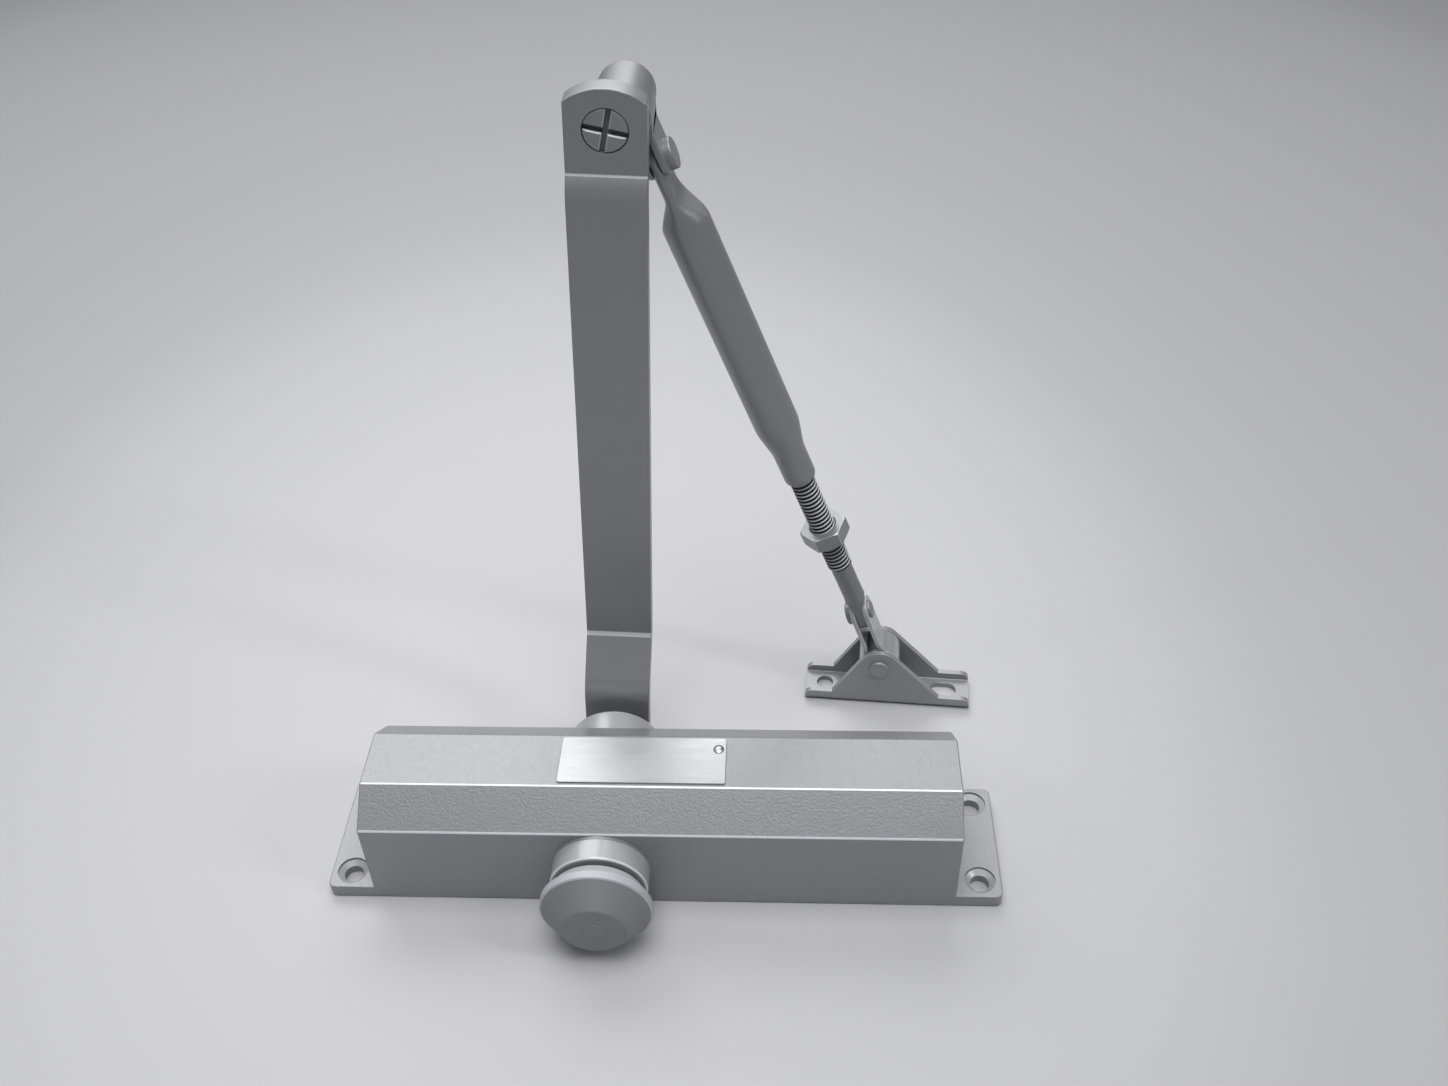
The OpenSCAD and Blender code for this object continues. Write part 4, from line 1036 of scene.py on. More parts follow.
    def _fixing_hole(self, end: int, side: int) -> Workpiece:
        """Return the cutter for a countersunk hole, cleared upwards beside the body."""
        top = self.flange_thickness
        lip = 0.85
        profile = [
            (0, -1), (self.hole_radius, -1), (self.hole_radius, top - self.sink_depth),
            (self.sink_radius - 0.25, top - lip), (self.sink_radius, top - lip),
            (self.sink_radius, 60), (0, 60),
        ]
        tool = Workpiece.turned("hole_cutter", profile, 64)
        return tool.shift(end * self.hole_spacing[0] / 2, side * self.hole_spacing[1] / 2, 0)

    def collar(self, name: str, back: bool) -> None:
        """Model a bearing collar.

        Args:
            name: The node that it stands for.
            back: True for the collar at the front of the body, which points to -Y.
        """
        wall = self.width / 2
        reach, radius = self.collar_reach, self.collar_radius
        seat = wall - 2.35
        edge = 0.9
        profile = [
            (11.5, 17.3), (self.collar_bore - 0.05, 17.3), (self.collar_bore - 0.05, seat),
            (radius, seat), *arc((radius - edge, reach - edge), edge, 0, 90, 6),
            (self.lip_radius + 0.6, reach), (self.lip_radius, reach - 0.6),
            (self.lip_radius, 30.95), (11.0, 30.95), (11.0, 27.5), (11.5, 27.5),
        ]
        # A band at the front rim gets the edge finish, a painted highlight.
        ring = Workpiece.turned(name + "_turned", profile, 128).paint_band(reach - 0.75, reach - 0.1)
        place = self.chain.at_spindle() @ along_y(0, back)
        ring.done(Body.CLOSER, Slot.BRIGHT_STEEL, [name], place)

    def plug(self, name: str, side: int) -> None:
        """Model an end plug with its ring groove and hexagonal socket.

        Args:
            name: The node that it stands for.
            side: -1 for the left end and 1 for the right one.
        """
        seat, bore = self.seat_radius - 0.05, self.bore_radius - 0.05
        groove = self.bore_radius - 2.4
        base = self.seat_length
        profile = [
            (0, 0), (seat - 1.0, 0), (seat - 0.3, 0.3), (seat, 0.9), (seat, base - 0.05), (bore, base - 0.05),
            (bore, base + 1.5), (groove, base + 1.5), (groove, base + 4.14), (bore, base + 4.14),
            (bore, base + 6), (0, base + 6),
        ]
        plug = Workpiece.turned(name + "_turned", profile, 96)
        socket = Workpiece.slab("socket_cutter", hexagon(6.93), -1, 6)
        lead = Workpiece.turned("lead_cutter", [(0, -1), (8.2, -1), (6.2, 0.9), (0, 0.9)], 48)
        plug.cut(socket)
        plug.cut(lead)
        place = Matrix.Translation((side * self.length / 2, 0, self.bore_height)) @ along_x(0, back=side > 0)
        plug.done(Body.CLOSER, Slot.STEEL, [name], place)

    def spring(self) -> None:
        """Wind the closing spring, which shortens towards its seat as the piston comes."""
        low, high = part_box("main_spring")
        length = (high[0] - low[0]) / MM
        wire = self.spring_wire / 2
        section = [(self.spring_radius + x, wire + z) for x, z in arc((0, 0), wire, 0, 330, 11)]
        coil = Workpiece.wound(
            "main_spring_wound", section, (length - 2 * wire) / self.spring_turns, self.spring_turns, 32
        )
        place = Matrix.Translation((low[0] / MM, 0, self.bore_height)) @ along_x(0)
        piece = coil.done(Body.CLOSER, Slot.STEEL, ["main_spring"], place)
        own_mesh(piece)

    def plate(self) -> None:
        """Model the blank plate with its softened rim, and its small rivet."""
        length, width, thick = self.plate_size
        x, y = length / 2, width / 2
        outline = soft_corners(rectangle(x, y), [0.8] * 4, 4)
        plate = Workpiece.slab("blank_plate", outline, 0, thick)
        rivet_x = x - self.plate_rivet_in
        plate.drill(self.plate_rivet_radius / 2 + 0.1, 4, Matrix.Translation((rivet_x, y / 2, -2)), 32)
        # The rounded rim gets the plate's darker edge finish, a painted shadow outline.
        plate.round_edges(0.15, 2)
        place = Matrix.Translation((self.plate_centre, 0, self.height))
        plate.done(Body.CLOSER, Slot.PLATE, ["name_plate"], place)
        head = self.plate_rivet_radius
        dome = [(0, -4.5), (head / 2, -4.5), (head / 2, thick), (head, thick)]
        dome += [(head * math.cos(a), thick + 0.8 * math.sin(a)) for a in (0.35, 0.7, 1.05, 1.35)]
        rivet = Workpiece.turned("blank_plate_rivet", [*dome, (0, thick + 0.8)], 40)
        rivet.shift(rivet_x, y / 2, 0)
        thing = rivet.done(Body.CLOSER, Slot.PLATE, ["plate_rivet"], place)
        thing.material_slots[0].material = PALETTE[Slot.STEEL]


@dataclass
class SpindleGroup:
    """What turns with the spindle: the cap, the main arm and what holds them."""

    chain: Linkage
    cap_back: float = -34.8
    cap_back_radius: float = 15.85
    cap_radius: float = 19.4
    cap_rim_at: float = 4.8
    cap_side: float = 7.8
    cap_cone: float = 8.2
    cap_disc_radius: float = 11.3
    boss_radius: float = 3.8
    arm_y: float = 38.5
    arm_width: float = 24.0
    arm_thickness: float = 7.0
    joggle: float = 14.0
    joggle_length: float = 17.0
    joggle_at: float = 20.0
    top_joggle: float = 3.0
    top_joggle_length: float = 5.0
    arm_over: float = 12.4
    arm_end_radius: float = 19.0
    elbow_head_radius: float = 6.65
    elbow_head_depth: float = 3.4

    @property
    def top_y(self) -> float:
        """Front face of the arm at the elbow."""
        return self.arm_y + self.joggle + self.top_joggle

    def build(self) -> None:
        """Build the cap, the arm, its washer and its screw."""
        self.cap()
        self.arm()
        self.washer()
        self.screw()

    def cap(self) -> None:
        """Turn the flared cap with its conical face, flat disc and low boss."""
        rim, side = self.cap_radius, self.cap_side
        top = side + self.cap_cone
        face = top - 0.35
        disc, boss = self.cap_disc_radius, self.boss_radius
        profile = [
            (0, 0), (self.cap_back_radius - 0.4, 0), (self.cap_back_radius, 0.4), (16.6, 1.5), (17.7, 3.0),
            *soft_corners([(18.6, 4.0), (rim, self.cap_rim_at + 0.2), (rim - 0.15, 6.6)], [0, 0.5, 0], 3),
            *arc((rim - 0.6, side - 0.5), 0.5, 0, 60, 4),
            (rim - 0.75, side + 0.12), (disc + 0.3, face - 0.35),
            (disc - 0.1, face - 0.05), (disc - 0.4, face),
            (boss + 0.1, face), (boss - 0.1, top - 0.12), (boss - 0.3, top), (0, top),
        ]
        cap = Workpiece.turned("spindle_cap_turned", profile, 128)
        # The band from the back flare to the rim gets the edge finish, a painted highlight where it faces up.
        cap.paint_band(0.5, side + 0.1)
        socket = Workpiece.slab("square_cutter", rectangle(5.5, 5.5), -1, 7.3)
        cap.cut(socket)
        place = self.chain.at_spindle() @ along_y(self.cap_back, back=True)
        cap.done(Body.SPINDLE, Slot.CAP_PAINT, ["spindle_cap"], place)

    def _arm_line(self, y: float, lift: float) -> tuple[list[Point2], list[float]]:
        """Trace one face of the bent arm, from hub to end.

        Args:
            y: Where the face is at the hub.
            lift: How far the lower joggle's corners are moved up the arm.

        Returns:
            The face's corners as (y, z), and how far each is rounded.
        """
        reach = self.chain.arm_reach - 2 * self.elbow_head_radius - 0.2
        middle = y + self.joggle
        end = middle + self.top_joggle
        corners = [
            (y, -40.0), (y, self.joggle_at + lift), (middle, self.joggle_at + self.joggle_length + lift),
            (middle, reach - self.top_joggle_length + 0.4), (end, reach), (end, 260.0),
        ]
        return corners, [0, 5.5, 1.4, 4.5, 0.4, 0]

    def arm(self) -> None:
        """Model the arm: a flat bar bent twice, with rounded ends and a flush screw's recess."""
        shift = self.arm_thickness * math.tan(math.atan2(self.joggle, self.joggle_length) / 2) / 2
        front, soft = self._arm_line(self.arm_y, shift)
        back, _ = self._arm_line(self.arm_y + self.arm_thickness, -shift)
        side = soft_corners(front, soft, 7)
        side += reversed(soft_corners(back, soft, 7))
        arm = Workpiece.slab("main_arm_bar", side, -40, 40, Facing.END)
        half = self.arm_width / 2
        top = self.chain.arm_reach + self.arm_over
        radius = self.arm_end_radius
        spread = math.degrees(math.asin(half / radius))
        outline = [
            *arc((0, 0), half, 180, 360, 32),
            *arc((0, top - radius), radius, 90 - spread, 90 + spread, 24),
        ]
        arm.keep(Workpiece.slab("arm_outline", outline, -90, -20, Facing.FRONT))
        arm.round_edges(0.4, 3, 50, painted_edges=False)
        # The two bend creases get the edge finish, a painted highlight.
        for crease, half_width in ((front[2][1], 0.9), (front[4][1], 0.42)):
            arm.paint_band(crease - half_width, crease + half_width)
        wide, floor = self.elbow_head_radius + 0.18, self.elbow_head_depth + 0.15
        recess = [(0, -1), (wide + 0.27, -1), (wide, 0.25), (wide, floor), (5.1, floor), (5.1, 12), (0, 12)]
        seat = Workpiece.turned("recess_cutter", recess, 96)
        arm.cut(seat.turn(Matrix.Translation((0, 0, self.chain.arm_reach)) @ along_y(self.top_y)))
        arm.cut(Workpiece.slab("hub_cutter", rectangle(5.5, 5.5), -60, -20, Facing.FRONT))
        arm.done(Body.SPINDLE, Slot.ARM_PAINT, ["main_arm"], self.chain.at_arm())

    def washer(self) -> None:
        """Turn the washer behind the arm."""
        profile = soft_corners([(3.3, 0), (9.0, 0), (9.0, 1.8), (3.3, 1.8)], [0.1, 0.3, 0.4, 0.1], 3)
        washer = Workpiece.turned("arm_washer_turned", profile, 72)
        place = self.chain.at_spindle() @ along_y(self.arm_y + self.arm_thickness + 0.01)
        washer.done(Body.SPINDLE, Slot.BRIGHT_STEEL, ["arm_washer"], place)

    def screw(self) -> None:
        """Turn the socket screw that holds the arm on the spindle."""
        screw = Workpiece.turned("arm_screw_turned", rivet_profile(3.0, 17.3, 5.5, 5.0, 0.7), 72)
        screw.cut(Workpiece.slab("key_cutter", hexagon(3.0), 2, 6))
        place = self.chain.at_spindle() @ along_y(self.arm_y + self.arm_thickness + 1.83)
        screw.done(Body.SPINDLE, Slot.BRIGHT_STEEL, ["arm_screw"], place)


@dataclass
class ElbowGroup:
    """The elbow screw with its knuckle, fork and rivet."""

    chain: Linkage
    arm_front: float = 55.5
    arm_back: float = 62.5
    head_radius: float = 6.65
    head_depth: float = 3.4
    slot_width: float = 1.6
    slot_depth: float = 1.9
    slot_turn: float = 13.0
    washer_thickness: float = 0.8
    barrel_front: float = 63.6
    barrel_length: float = 22.4
    barrel_radius: float = 8.9
    barrel_offset: float = 3.6
    fork_thickness: float = 7.1
    slot_gap: float = 3.5
    cheek_half: float = 8.0
    cheek_end: float = 4.8
    block_root: float = 12.0
    slot_top: float = 8.3
    rivet_head: float = 4.9
    rivet_height: float = 2.3

    def build(self) -> None:
        """Build the screw, washer, knuckle and rivet."""
        self.screw()
        self.washer()
        self.knuckle()
        self.rivet()

    def screw(self) -> None:
        """Turn the flush screw and cut its crossed slots."""
        radius, depth = self.head_radius, self.head_depth
        end = self.barrel_front + self.barrel_length - 3 - self.arm_front
        profile = [
            (0, 0), (radius - 1.5, 0.03), (radius - 0.55, 0.22), (radius - 0.15, 0.5), (radius, 0.8),
            (radius, depth), (5.0, depth),
            (5.0, 7.95), (4.0, 7.95), (4.0, end), (0, end),
        ]
        screw = Workpiece.turned("elbow_screw_turned", profile, 96)
        # The slots are flared at their mouths, as worn, down to 0.4 mm.
        half, floor, edge_light_and_wear = self.slot_width / 2, self.slot_depth, 0.4
        side = [(half + edge_light_and_wear + 0.5, -0.5), (half, edge_light_and_wear), (half, floor)]
        section = [*side, *((-x, z) for x, z in reversed(side))]
        for turn in (0, 90):
            cutter = Workpiece.slab("slot_cutter", section, -THROUGH, THROUGH, Facing.FRONT)
            screw.cut(cutter.turn(Matrix.Rotation(math.radians(turn + self.slot_turn), 4, "Z")))
        # The slots' walls and floors get the cut finish, painted shade.
        screw.paint_faces(
            lambda face: edge_light_and_wear < face.center.z < floor + 0.1 and face.center.xy.length < radius - 0.3, finish=2
        )
        # The head's sloped rim gets a painted highlight, from the foot paint's lighter edge finish set below.
        screw.paint_faces(lambda face: face.center.z < 0.7 and 0.25 < abs(face.normal.z) < 0.93)
        place = self.chain.at_elbow() @ along_y(self.arm_front)
        thing = screw.done(Body.ELBOW, Slot.ARM_PAINT, ["elbow_screw"], place)
        thing.material_slots[1].material = EDGE_LIGHT_AND_SHADE[Slot.FOOT_PAINT]

    def washer(self) -> None:
        """Turn the thin washer between arm and knuckle."""
        thick = self.washer_thickness
        corners = [(5.15, 0), (6.3, 0), (6.3, thick), (5.15, thick)]
        profile = soft_corners(corners, [0.05, 0.15, 0.15, 0.05], 2)
        washer = Workpiece.turned("elbow_washer_turned", profile, 72)
        place = self.chain.at_elbow() @ along_y(self.arm_back + 0.075)
        washer.done(Body.SPINDLE, Slot.BRIGHT_STEEL, ["elbow_washer"], place)

    def knuckle(self) -> None:
        """Model the knuckle: a barrel with a slotted fork below it."""
        radius, length = self.barrel_radius, self.barrel_length
        edge = 1.6
        profile = [
            (0, 0), (radius - 0.4, 0), (radius, 0.4),
            *arc((radius - edge, length - edge), edge, 0, 90, 6), (0, length),
        ]
        barrel = Workpiece.turned("elbow_knuckle_body", profile, 96)
        barrel.turn(self.chain.at_elbow() @ along_y(self.barrel_front)).shift(self.barrel_offset, 0, 0)
        half, end = self.cheek_half, self.cheek_end
        drop = self.chain.fork_drop
        corners = [(-half, -end), (half, -end), (half, drop), (-half, drop)]
        outline = soft_corners(corners, [6.6, 6.6, 0, 0], 10)
        thick = self.fork_thickness / 2
        fork = Workpiece.slab("fork", outline, -thick, thick, Facing.END)
        reach = -self.chain.fork_side - self.barrel_offset
        web = [(reach, self.block_root), (0, self.block_root), (0, drop), (reach, drop)]
        fork.fuse(Workpiece.slab("web", web, -half, half, Facing.FRONT))
        fork.round_edges(0.7, 4, 40)
        fork.turn(self.chain.at_fork())
        barrel.fuse(self._fairing())
        barrel.fuse(fork)
        gap = self.slot_gap / 2
        slit = [(-gap, -40), (gap, -40), (gap, self.slot_top), (-gap, self.slot_top)]
        slot = Workpiece.slab("tongue_cutter", slit, -THROUGH, THROUGH, Facing.FRONT)
        barrel.cut(slot.turn(self.chain.at_fork()))
        barrel.drill(3.0 + PLAY, 30, self.chain.at_fork() @ along_x(-15))
        barrel.drill(4.0 + PLAY, length + 4, self.chain.at_elbow() @ along_y(self.barrel_front - 2))
        barrel.done(Body.ELBOW, Slot.ARM_PAINT, ["elbow_knuckle"])

    def _fairing(self) -> Workpiece:
        """Return the upright flank between the barrel's outer side and the fork's cheek."""
        middle = self.chain.elbow[0] + self.barrel_offset
        right = middle + self.barrel_radius - 0.05
        height = self.chain.elbow[1]
        flank = [
            (middle, height - 8.0), (right - 2.0, height - 8.0), (right, height - 6.2),
            (right, height), (middle, height),
        ]
        near = self.barrel_front + 0.6
        far = self.chain.fork_y + self.cheek_half - 0.7
        return Workpiece.slab("fairing", flank, -far, -near, Facing.FRONT)

    def rivet(self) -> None:
        """Turn the elbow rivet with its broad flat head and formed end."""
        thick = self.fork_thickness / 2 + 0.01
        head = rivet_profile(3.0, 2 * thick, self.rivet_head, self.rivet_height, 0.55)
        rivet = Workpiece.turned("elbow_rivet_turned", head, 72)
        rivet.turn(along_x(thick))
        formed = Workpiece.turned("formed_end", rivet_profile(2.9, 1, 3.9, 1.6, 1.0), 72)
        rivet.fuse(formed.turn(along_x(-thick, back=True)))
        rivet.done(Body.ELBOW, Slot.ARM_PAINT, ["elbow_rivet"], self.chain.at_fork())


@dataclass
class ForearmGroup:
    """The tube, the adjusting rod and the lock nut."""

    chain: Linkage
    tube_radius: float = 7.9
    neck_radius: float = 5.85
    neck_length: float = 14.6
    cone_length: float = 9.8
    wall: float = 1.6
    flat_from: float = 23.0
    flat_to: float = 10.6
    tongue_half: float = 8.0
    tongue_thickness: float = 3.2
    thread_radius: float = 4.7
    thread_depth: float = 0.95
    pitch: float = 1.75
    thread_from: float = 26.0
    rod_inside: float = 45.0
    shank_radius: float = 4.05
    eye_thickness: float = 3.4
    eye_half: float = 4.6
    eye_end: float = 7.6
    nut_flats: float = 15.6
    nut_thickness: float = 6.0
    nut_at: float = 45.0
    nut_turn: float = 12.0

    def build(self) -> None:
        """Build the tube, rod and nut."""
        self.tube()
        self.rod()
        self.nut()

    def tube(self) -> None:
        """Draw the tube from its pressed flat tongue to its swaged neck."""
        flat, full, length = self.flat_to, self.flat_from, self.chain.tube_length
        thin, radius, neck = self.tongue_thickness / 2, self.tube_radius, self.neck_radius
        half = self.tongue_half
        stations = [(half + 0.2, 2.9, half), (-flat, 2.9, half)]
        for i in range(1, 12):
            t = i / 12
            ease = t * t * (3 - 2 * t)
            width = 2.9 + (radius - 2.9) * (0.3 * t + 0.7 * ease)
            stations.append((-flat - (full - flat) * t, width, half + (radius - half) * t))
        stations += [(-full - 0.8, radius, radius), (-full - 4, radius, radius)]
        cone_low = -length + self.neck_length
        cone_top = cone_low + self.cone_length
        stations += [(cone_top + 3.0, radius, radius), (cone_top + 0.8, radius - 0.04, radius - 0.04)]
        stations += [(cone_top - 0.8, radius - 0.24, radius - 0.24)]
        stations += [(cone_low + 1.0, neck + 0.3, neck + 0.3), (cone_low - 0.8, neck + 0.05, neck + 0.05)]
        stations += [(cone_low - 2.5, neck, neck), (-length + 2.4, neck, neck)]
        for angle in (20, 40, 60, 80):
            a = math.radians(angle)
            r = neck - 1.0 * (1 - math.cos(a))
            stations.append((-length + 1.6 * (1 - math.sin(a)), r, r))
        stations.append((-length, neck - 1.1, neck - 1.1))
        tube = Workpiece.lofted("forearm_tube_drawn", stations, 96)
        side = [
            (thin, 20), (thin, -flat), (thin + 0.35, -flat - 1.6), (thin + 1.3, -flat - 4.0),
            (radius - 1.6, -full + 3.2), (radius - 0.5, -full + 0.9), (radius + 0.1, -full - 0.6),
            (12, -full - 4), (12, -length - 2),
        ]
        tube.keep(Workpiece.slab("pressed", mirrored(side), -THROUGH, THROUGH, Facing.FRONT))
        tip = [*arc((0, 0), half, 0, 180, 32), (-12, -1), (-12, -length - 2), (12, -length - 2), (12, -1)]
        tube.keep(Workpiece.slab("tongue_end", tip, -THROUGH, THROUGH, Facing.END))
        inner = radius - self.wall
        bore = self.thread_radius + PLAY
        hollow = [
            (0, -full - 3), (inner, -full - 5), (inner, cone_top), (bore, cone_low), (bore, -length + 0.4),
            (bore + 0.5, -length - 0.5), (0, -length - 0.5),
        ]
        tube.cut(Workpiece.turned("tube_cutter", hollow, 64))
        tube.drill(3.0 + PLAY, 20, along_x(-10))
        tube.done(Body.TUBE, Slot.ARM_PAINT, ["forearm_tube"], self.chain.at_forearm(), 38)

    def rod(self) -> None:
        """Make the rod: a core, a wound thread ridge, and a shank pressed flat at its end."""
        start = self.thread_from
        top = self.chain.rod_out + self.rod_inside
        root = self.thread_radius - self.thread_depth
        shank, flat = self.shank_radius, self.eye_thickness / 2
        profile = [
            (0, -10), (self.eye_half + 0.4, -10), (self.eye_half + 0.4, 6.2), (4.5, 7.8), (shank, 9.4),
            (shank, start - 0.6), (root + 0.05, start + 0.6),
            (root + 0.05, top - 1), (root - 0.6, top), (0, top),
        ]
        rod = Workpiece.turned("adjusting_rod_threaded", profile, 72)
        side = [(flat, -12), (flat, 6.2), (flat + 0.35, 6.7), (5.2, 10.4), (5.2, 140)]
        rod.keep(Workpiece.slab("flat_outline", mirrored(side), -THROUGH, THROUGH, Facing.FRONT))
        half = self.eye_half
        low = [*arc((0, half - self.eye_end), half, 180, 360, 24), (half, 140), (-half, 140)]
        rod.keep(Workpiece.slab("eye_outline", low, -THROUGH, THROUGH, Facing.END))
        rod.drill(2.5 + PLAY, 20, along_x(-10), 48)
        rod.round_edges(0.3, 2, 40)
        rod.join(self._ridge(start, top - 1.2, root))
        # The threaded part gets the cut finish, painted shade nearly black in the thread, and its crests the
        # edge finish, a painted highlight.
        rod.paint_band(start + 0.7, top, finish=2)
        crest = self.thread_radius - 0.32
        rod.paint_faces(lambda face: face.center.z > start and face.center.xy.length > crest)
        rod.done(Body.ROD, Slot.ROD_STEEL, ["adjusting_rod"], self.chain.at_rod())

    def _ridge(self, start: float, end: float, root: float) -> Workpiece:
        """Wind one thread ridge round the rod.

        Args:
            start: Height of the first turn.
            end: Height of the last one.
            root: Radius of the thread's root.

        Returns:
            A closed ridge with its inner edge sunk into the core.
        """
        crest, pitch = self.thread_radius, self.pitch
        sunk = root - 0.1
        shares = [
            (sunk, 0.16), (crest - 0.3, 0.34), (crest - 0.06, 0.43), (crest, 0.5),
            (crest - 0.06, 0.57), (crest - 0.3, 0.66), (sunk, 0.84),
        ]
        outline = [(radius, start + share * pitch) for radius, share in shares]
        return Workpiece.wound("thread_ridge", outline, pitch, int((end - start) / pitch))

    def nut(self) -> None:
        """Make the hexagonal nut with its turned corners."""
        flats, thick = self.nut_flats / 2, self.nut_thickness
        corner = flats / math.cos(math.radians(30))
        blank = [
            (0, 0), (corner - 0.75, 0), (corner, 0.4),
            (corner, thick - 0.4), (corner - 0.75, thick), (0, thick),
        ]
        nut = Workpiece.turned("lock_nut_made", blank, 96)
        nut.keep(Workpiece.slab("hexagon", hexagon(corner), -1, thick + 1))
        nut.round_edges(0.18, 2, 24)
        bore = self.thread_radius + PLAY
        tool = [
            (0, -1), (bore + 1.5, -1), (bore, 0.5),
            (bore, thick - 0.5), (bore + 1.5, thick + 1), (0, thick + 1),
        ]
        nut.cut(Workpiece.turned("nut_cutter", tool, 64))
        low = Matrix.Translation((0, 0, self.nut_at - thick / 2))
        place = self.chain.at_rod() @ low @ Matrix.Rotation(math.radians(self.nut_turn), 4, "Z")
        nut.done(Body.NUT, Slot.NUT_STEEL, ["lock_nut"], place, 22)


@dataclass
class FootGroup:
    """The link strap and the foot bracket with their rivets and sleeve."""

    chain: Linkage
    strap_width: float = 11.8
    strap_thickness: float = 1.6
    loop_radius: float = 8.0
    flare_radius: float = 8.0
    neck_half: float = 3.45
    strap_over: float = 5.6
    rod_head: float = 4.5
    rod_head_height: float = 2.1
    rod_end: float = 3.4
    rod_end_height: float = 1.0
    length: float = 66.2
    depth: float = 16.52
    thickness: float = 2.2
    pivot_at: float = 29.2
    apex_radius: float = 8.2
    lip_height: float = 5.3
    lip_left: float = 10.9
    lip_right: float = 12.4
    hole_at: float = 7.8
    hole_radius: float = 3.35
    slot_at: float = 55.7
    slot_length: float = 10.8
    pivot_head: float = 4.0
    pivot_head_height: float = 1.2
    sleeve_radius: float = 6.35
    rib_pitch: float = 1.7
    rib_depth: float = 0.7

    def build(self) -> None:
        """Build the strap, the bracket, the sleeve and both rivets."""
        self.strap()
        self.rod_rivet()
        self.bracket()
        self.sleeve()
        self.pivot_rivet()

    def strap(self) -> None:
        """Fold the strap: two flat cheeks, flared into a loop round the sleeve."""
        half = self.strap_thickness / 2
        neck = self.neck_half - half
        flare_x = self.neck_half + self.flare_radius
        flare_z = math.sqrt((self.loop_radius + self.flare_radius) ** 2 - flare_x**2)
        touch = math.degrees(math.atan2(flare_z, flare_x))
        top = self.chain.link_length + self.strap_over + 2
        right = [(neck, top), (neck, 20.0)]
        right += arc((flare_x, flare_z), self.flare_radius + half, 180, 180 + touch, 14)
        loop = arc((0, 0), self.loop_radius - half, touch, -180 - touch, 48)
        left = [(-x, z) for x, z in reversed(right)]
        path = [*right[:-1], *loop, *left[1:]]
        strap = Workpiece.folded(
            "link_strap_folded", path, self.strap_width, self.strap_thickness, Facing.FRONT
        )
        strap.shift(0, 0, -self.chain.link_length)
        round_end = self.strap_width / 2 + 0.02
        centre = self.strap_over - self.strap_width / 2
        outline = [*arc((0, centre), round_end, 0, 180, 24), (-round_end, -60), (round_end, -60)]
        strap.keep(Workpiece.slab("strap_outline", outline, -THROUGH, THROUGH, Facing.END))
        strap.drill(2.5 + PLAY, 20, along_x(-10), 48)
        strap.round_edges(0.22, 2, 50)
        strap.done(Body.LINK, Slot.STRAP_STEEL, ["link_strap"], self.chain.at_link(), 40)

    def rod_rivet(self) -> None:
        """Turn the rivet between rod and strap: a tall head and a low formed end."""
        out = self.neck_half + 0.01
        head = rivet_profile(2.5, 2 * out, self.rod_head, self.rod_head_height, 0.6)
        rivet = Workpiece.turned("rod_rivet_turned", head, 64).turn(along_x(-out, back=True))
        formed = rivet_profile(2.4, 1, self.rod_end, self.rod_end_height, 0.6)
        rivet.fuse(Workpiece.turned("formed_end", formed, 64).turn(along_x(out)))
        rivet.done(Body.ROD, Slot.ROD_STEEL, ["rod_rivet"], self.chain.at_link())

    def _cheek_outline(self) -> list[Point2]:
        """Return the bracket's outline seen from the front, round its rivet."""
        left, right, low = -self.pivot_at, self.length - self.pivot_at, -self.chain.pivot_height - 1
        lip = low + 1 + self.lip_height
        left_foot, right_foot = (left + self.lip_left, lip), (right - self.lip_right, lip)
        start = self._touch(right_foot, 1)
        end = self._touch(left_foot, -1)
        corners = [(left, low), (right, low), (right, lip), right_foot]
        first = soft_corners([*corners, (self.apex_radius, 0)], [0, 0, 3.8, 0, 0], 6)[:-1]
        corners = [(-self.apex_radius, 0), left_foot, (left, lip), (left, low)]
        last = soft_corners(corners, [0, 0, 3.8, 0], 6)[1:-1]
        return [*first, *arc((0, 0), self.apex_radius, start, end, 24), *last]

    def _touch(self, point: Point2, side: int) -> float:
        """Return the angle at which a line from a point touches the apex arc.

        Args:
            point: Where the line starts.
            side: 1 or -1, for the way round.

        Returns:
            The angle in degrees.
        """
        away = math.degrees(math.acos(self.apex_radius / math.hypot(*point)))
        angle = math.degrees(math.atan2(point[1], point[0])) + side * away
        return angle % 360 if side < 0 else angle

    def bracket(self) -> None:
        """Fold the bracket from sheet, cut its cheeks and punch its holes."""
        half, sheet = self.depth / 2, self.thickness
        mid = sheet / 2
        low = -self.chain.pivot_height + mid
        bend = 1.5
        top = self.apex_radius + 3
        path = [
            (half - mid, top), (half - mid, low + bend),
            *arc((half - mid - bend, low + bend), bend, 0, -90, 6),
            *arc((-half + mid + bend, low + bend), bend, -90, -180, 6),
            (-half + mid, top),
        ]
        foot = Workpiece.folded("foot_bracket_folded", path, self.length, sheet, Facing.END)
        foot.shift(self.length / 2 - self.pivot_at, 0, 0)
        foot.keep(Workpiece.slab("cheek_outline", self._cheek_outline(), -30, 30, Facing.FRONT))
        foot.round_edges(0.35, 3, 40)
        base = -self.chain.pivot_height - 1
        tall = sheet + 2
        place = Matrix.Translation((self.hole_at - self.pivot_at, 0, base))
        foot.drill(self.hole_radius, tall, place, 48)
        run = self.slot_length / 2 - self.hole_radius
        ends = [*arc((run, 0), self.hole_radius, -90, 90, 16), *arc((-run, 0), self.hole_radius, 90, 270, 16)]
        slot = Workpiece.slab("slot_cutter", ends, base, base + tall)
        foot.cut(slot.shift(self.slot_at - self.pivot_at, 0, 0))
        foot.drill(3.0 + PLAY, 40, along_y(-20))
        foot.done(Body.FOOT, Slot.FOOT_PAINT, ["foot_bracket"], self.chain.at_foot())

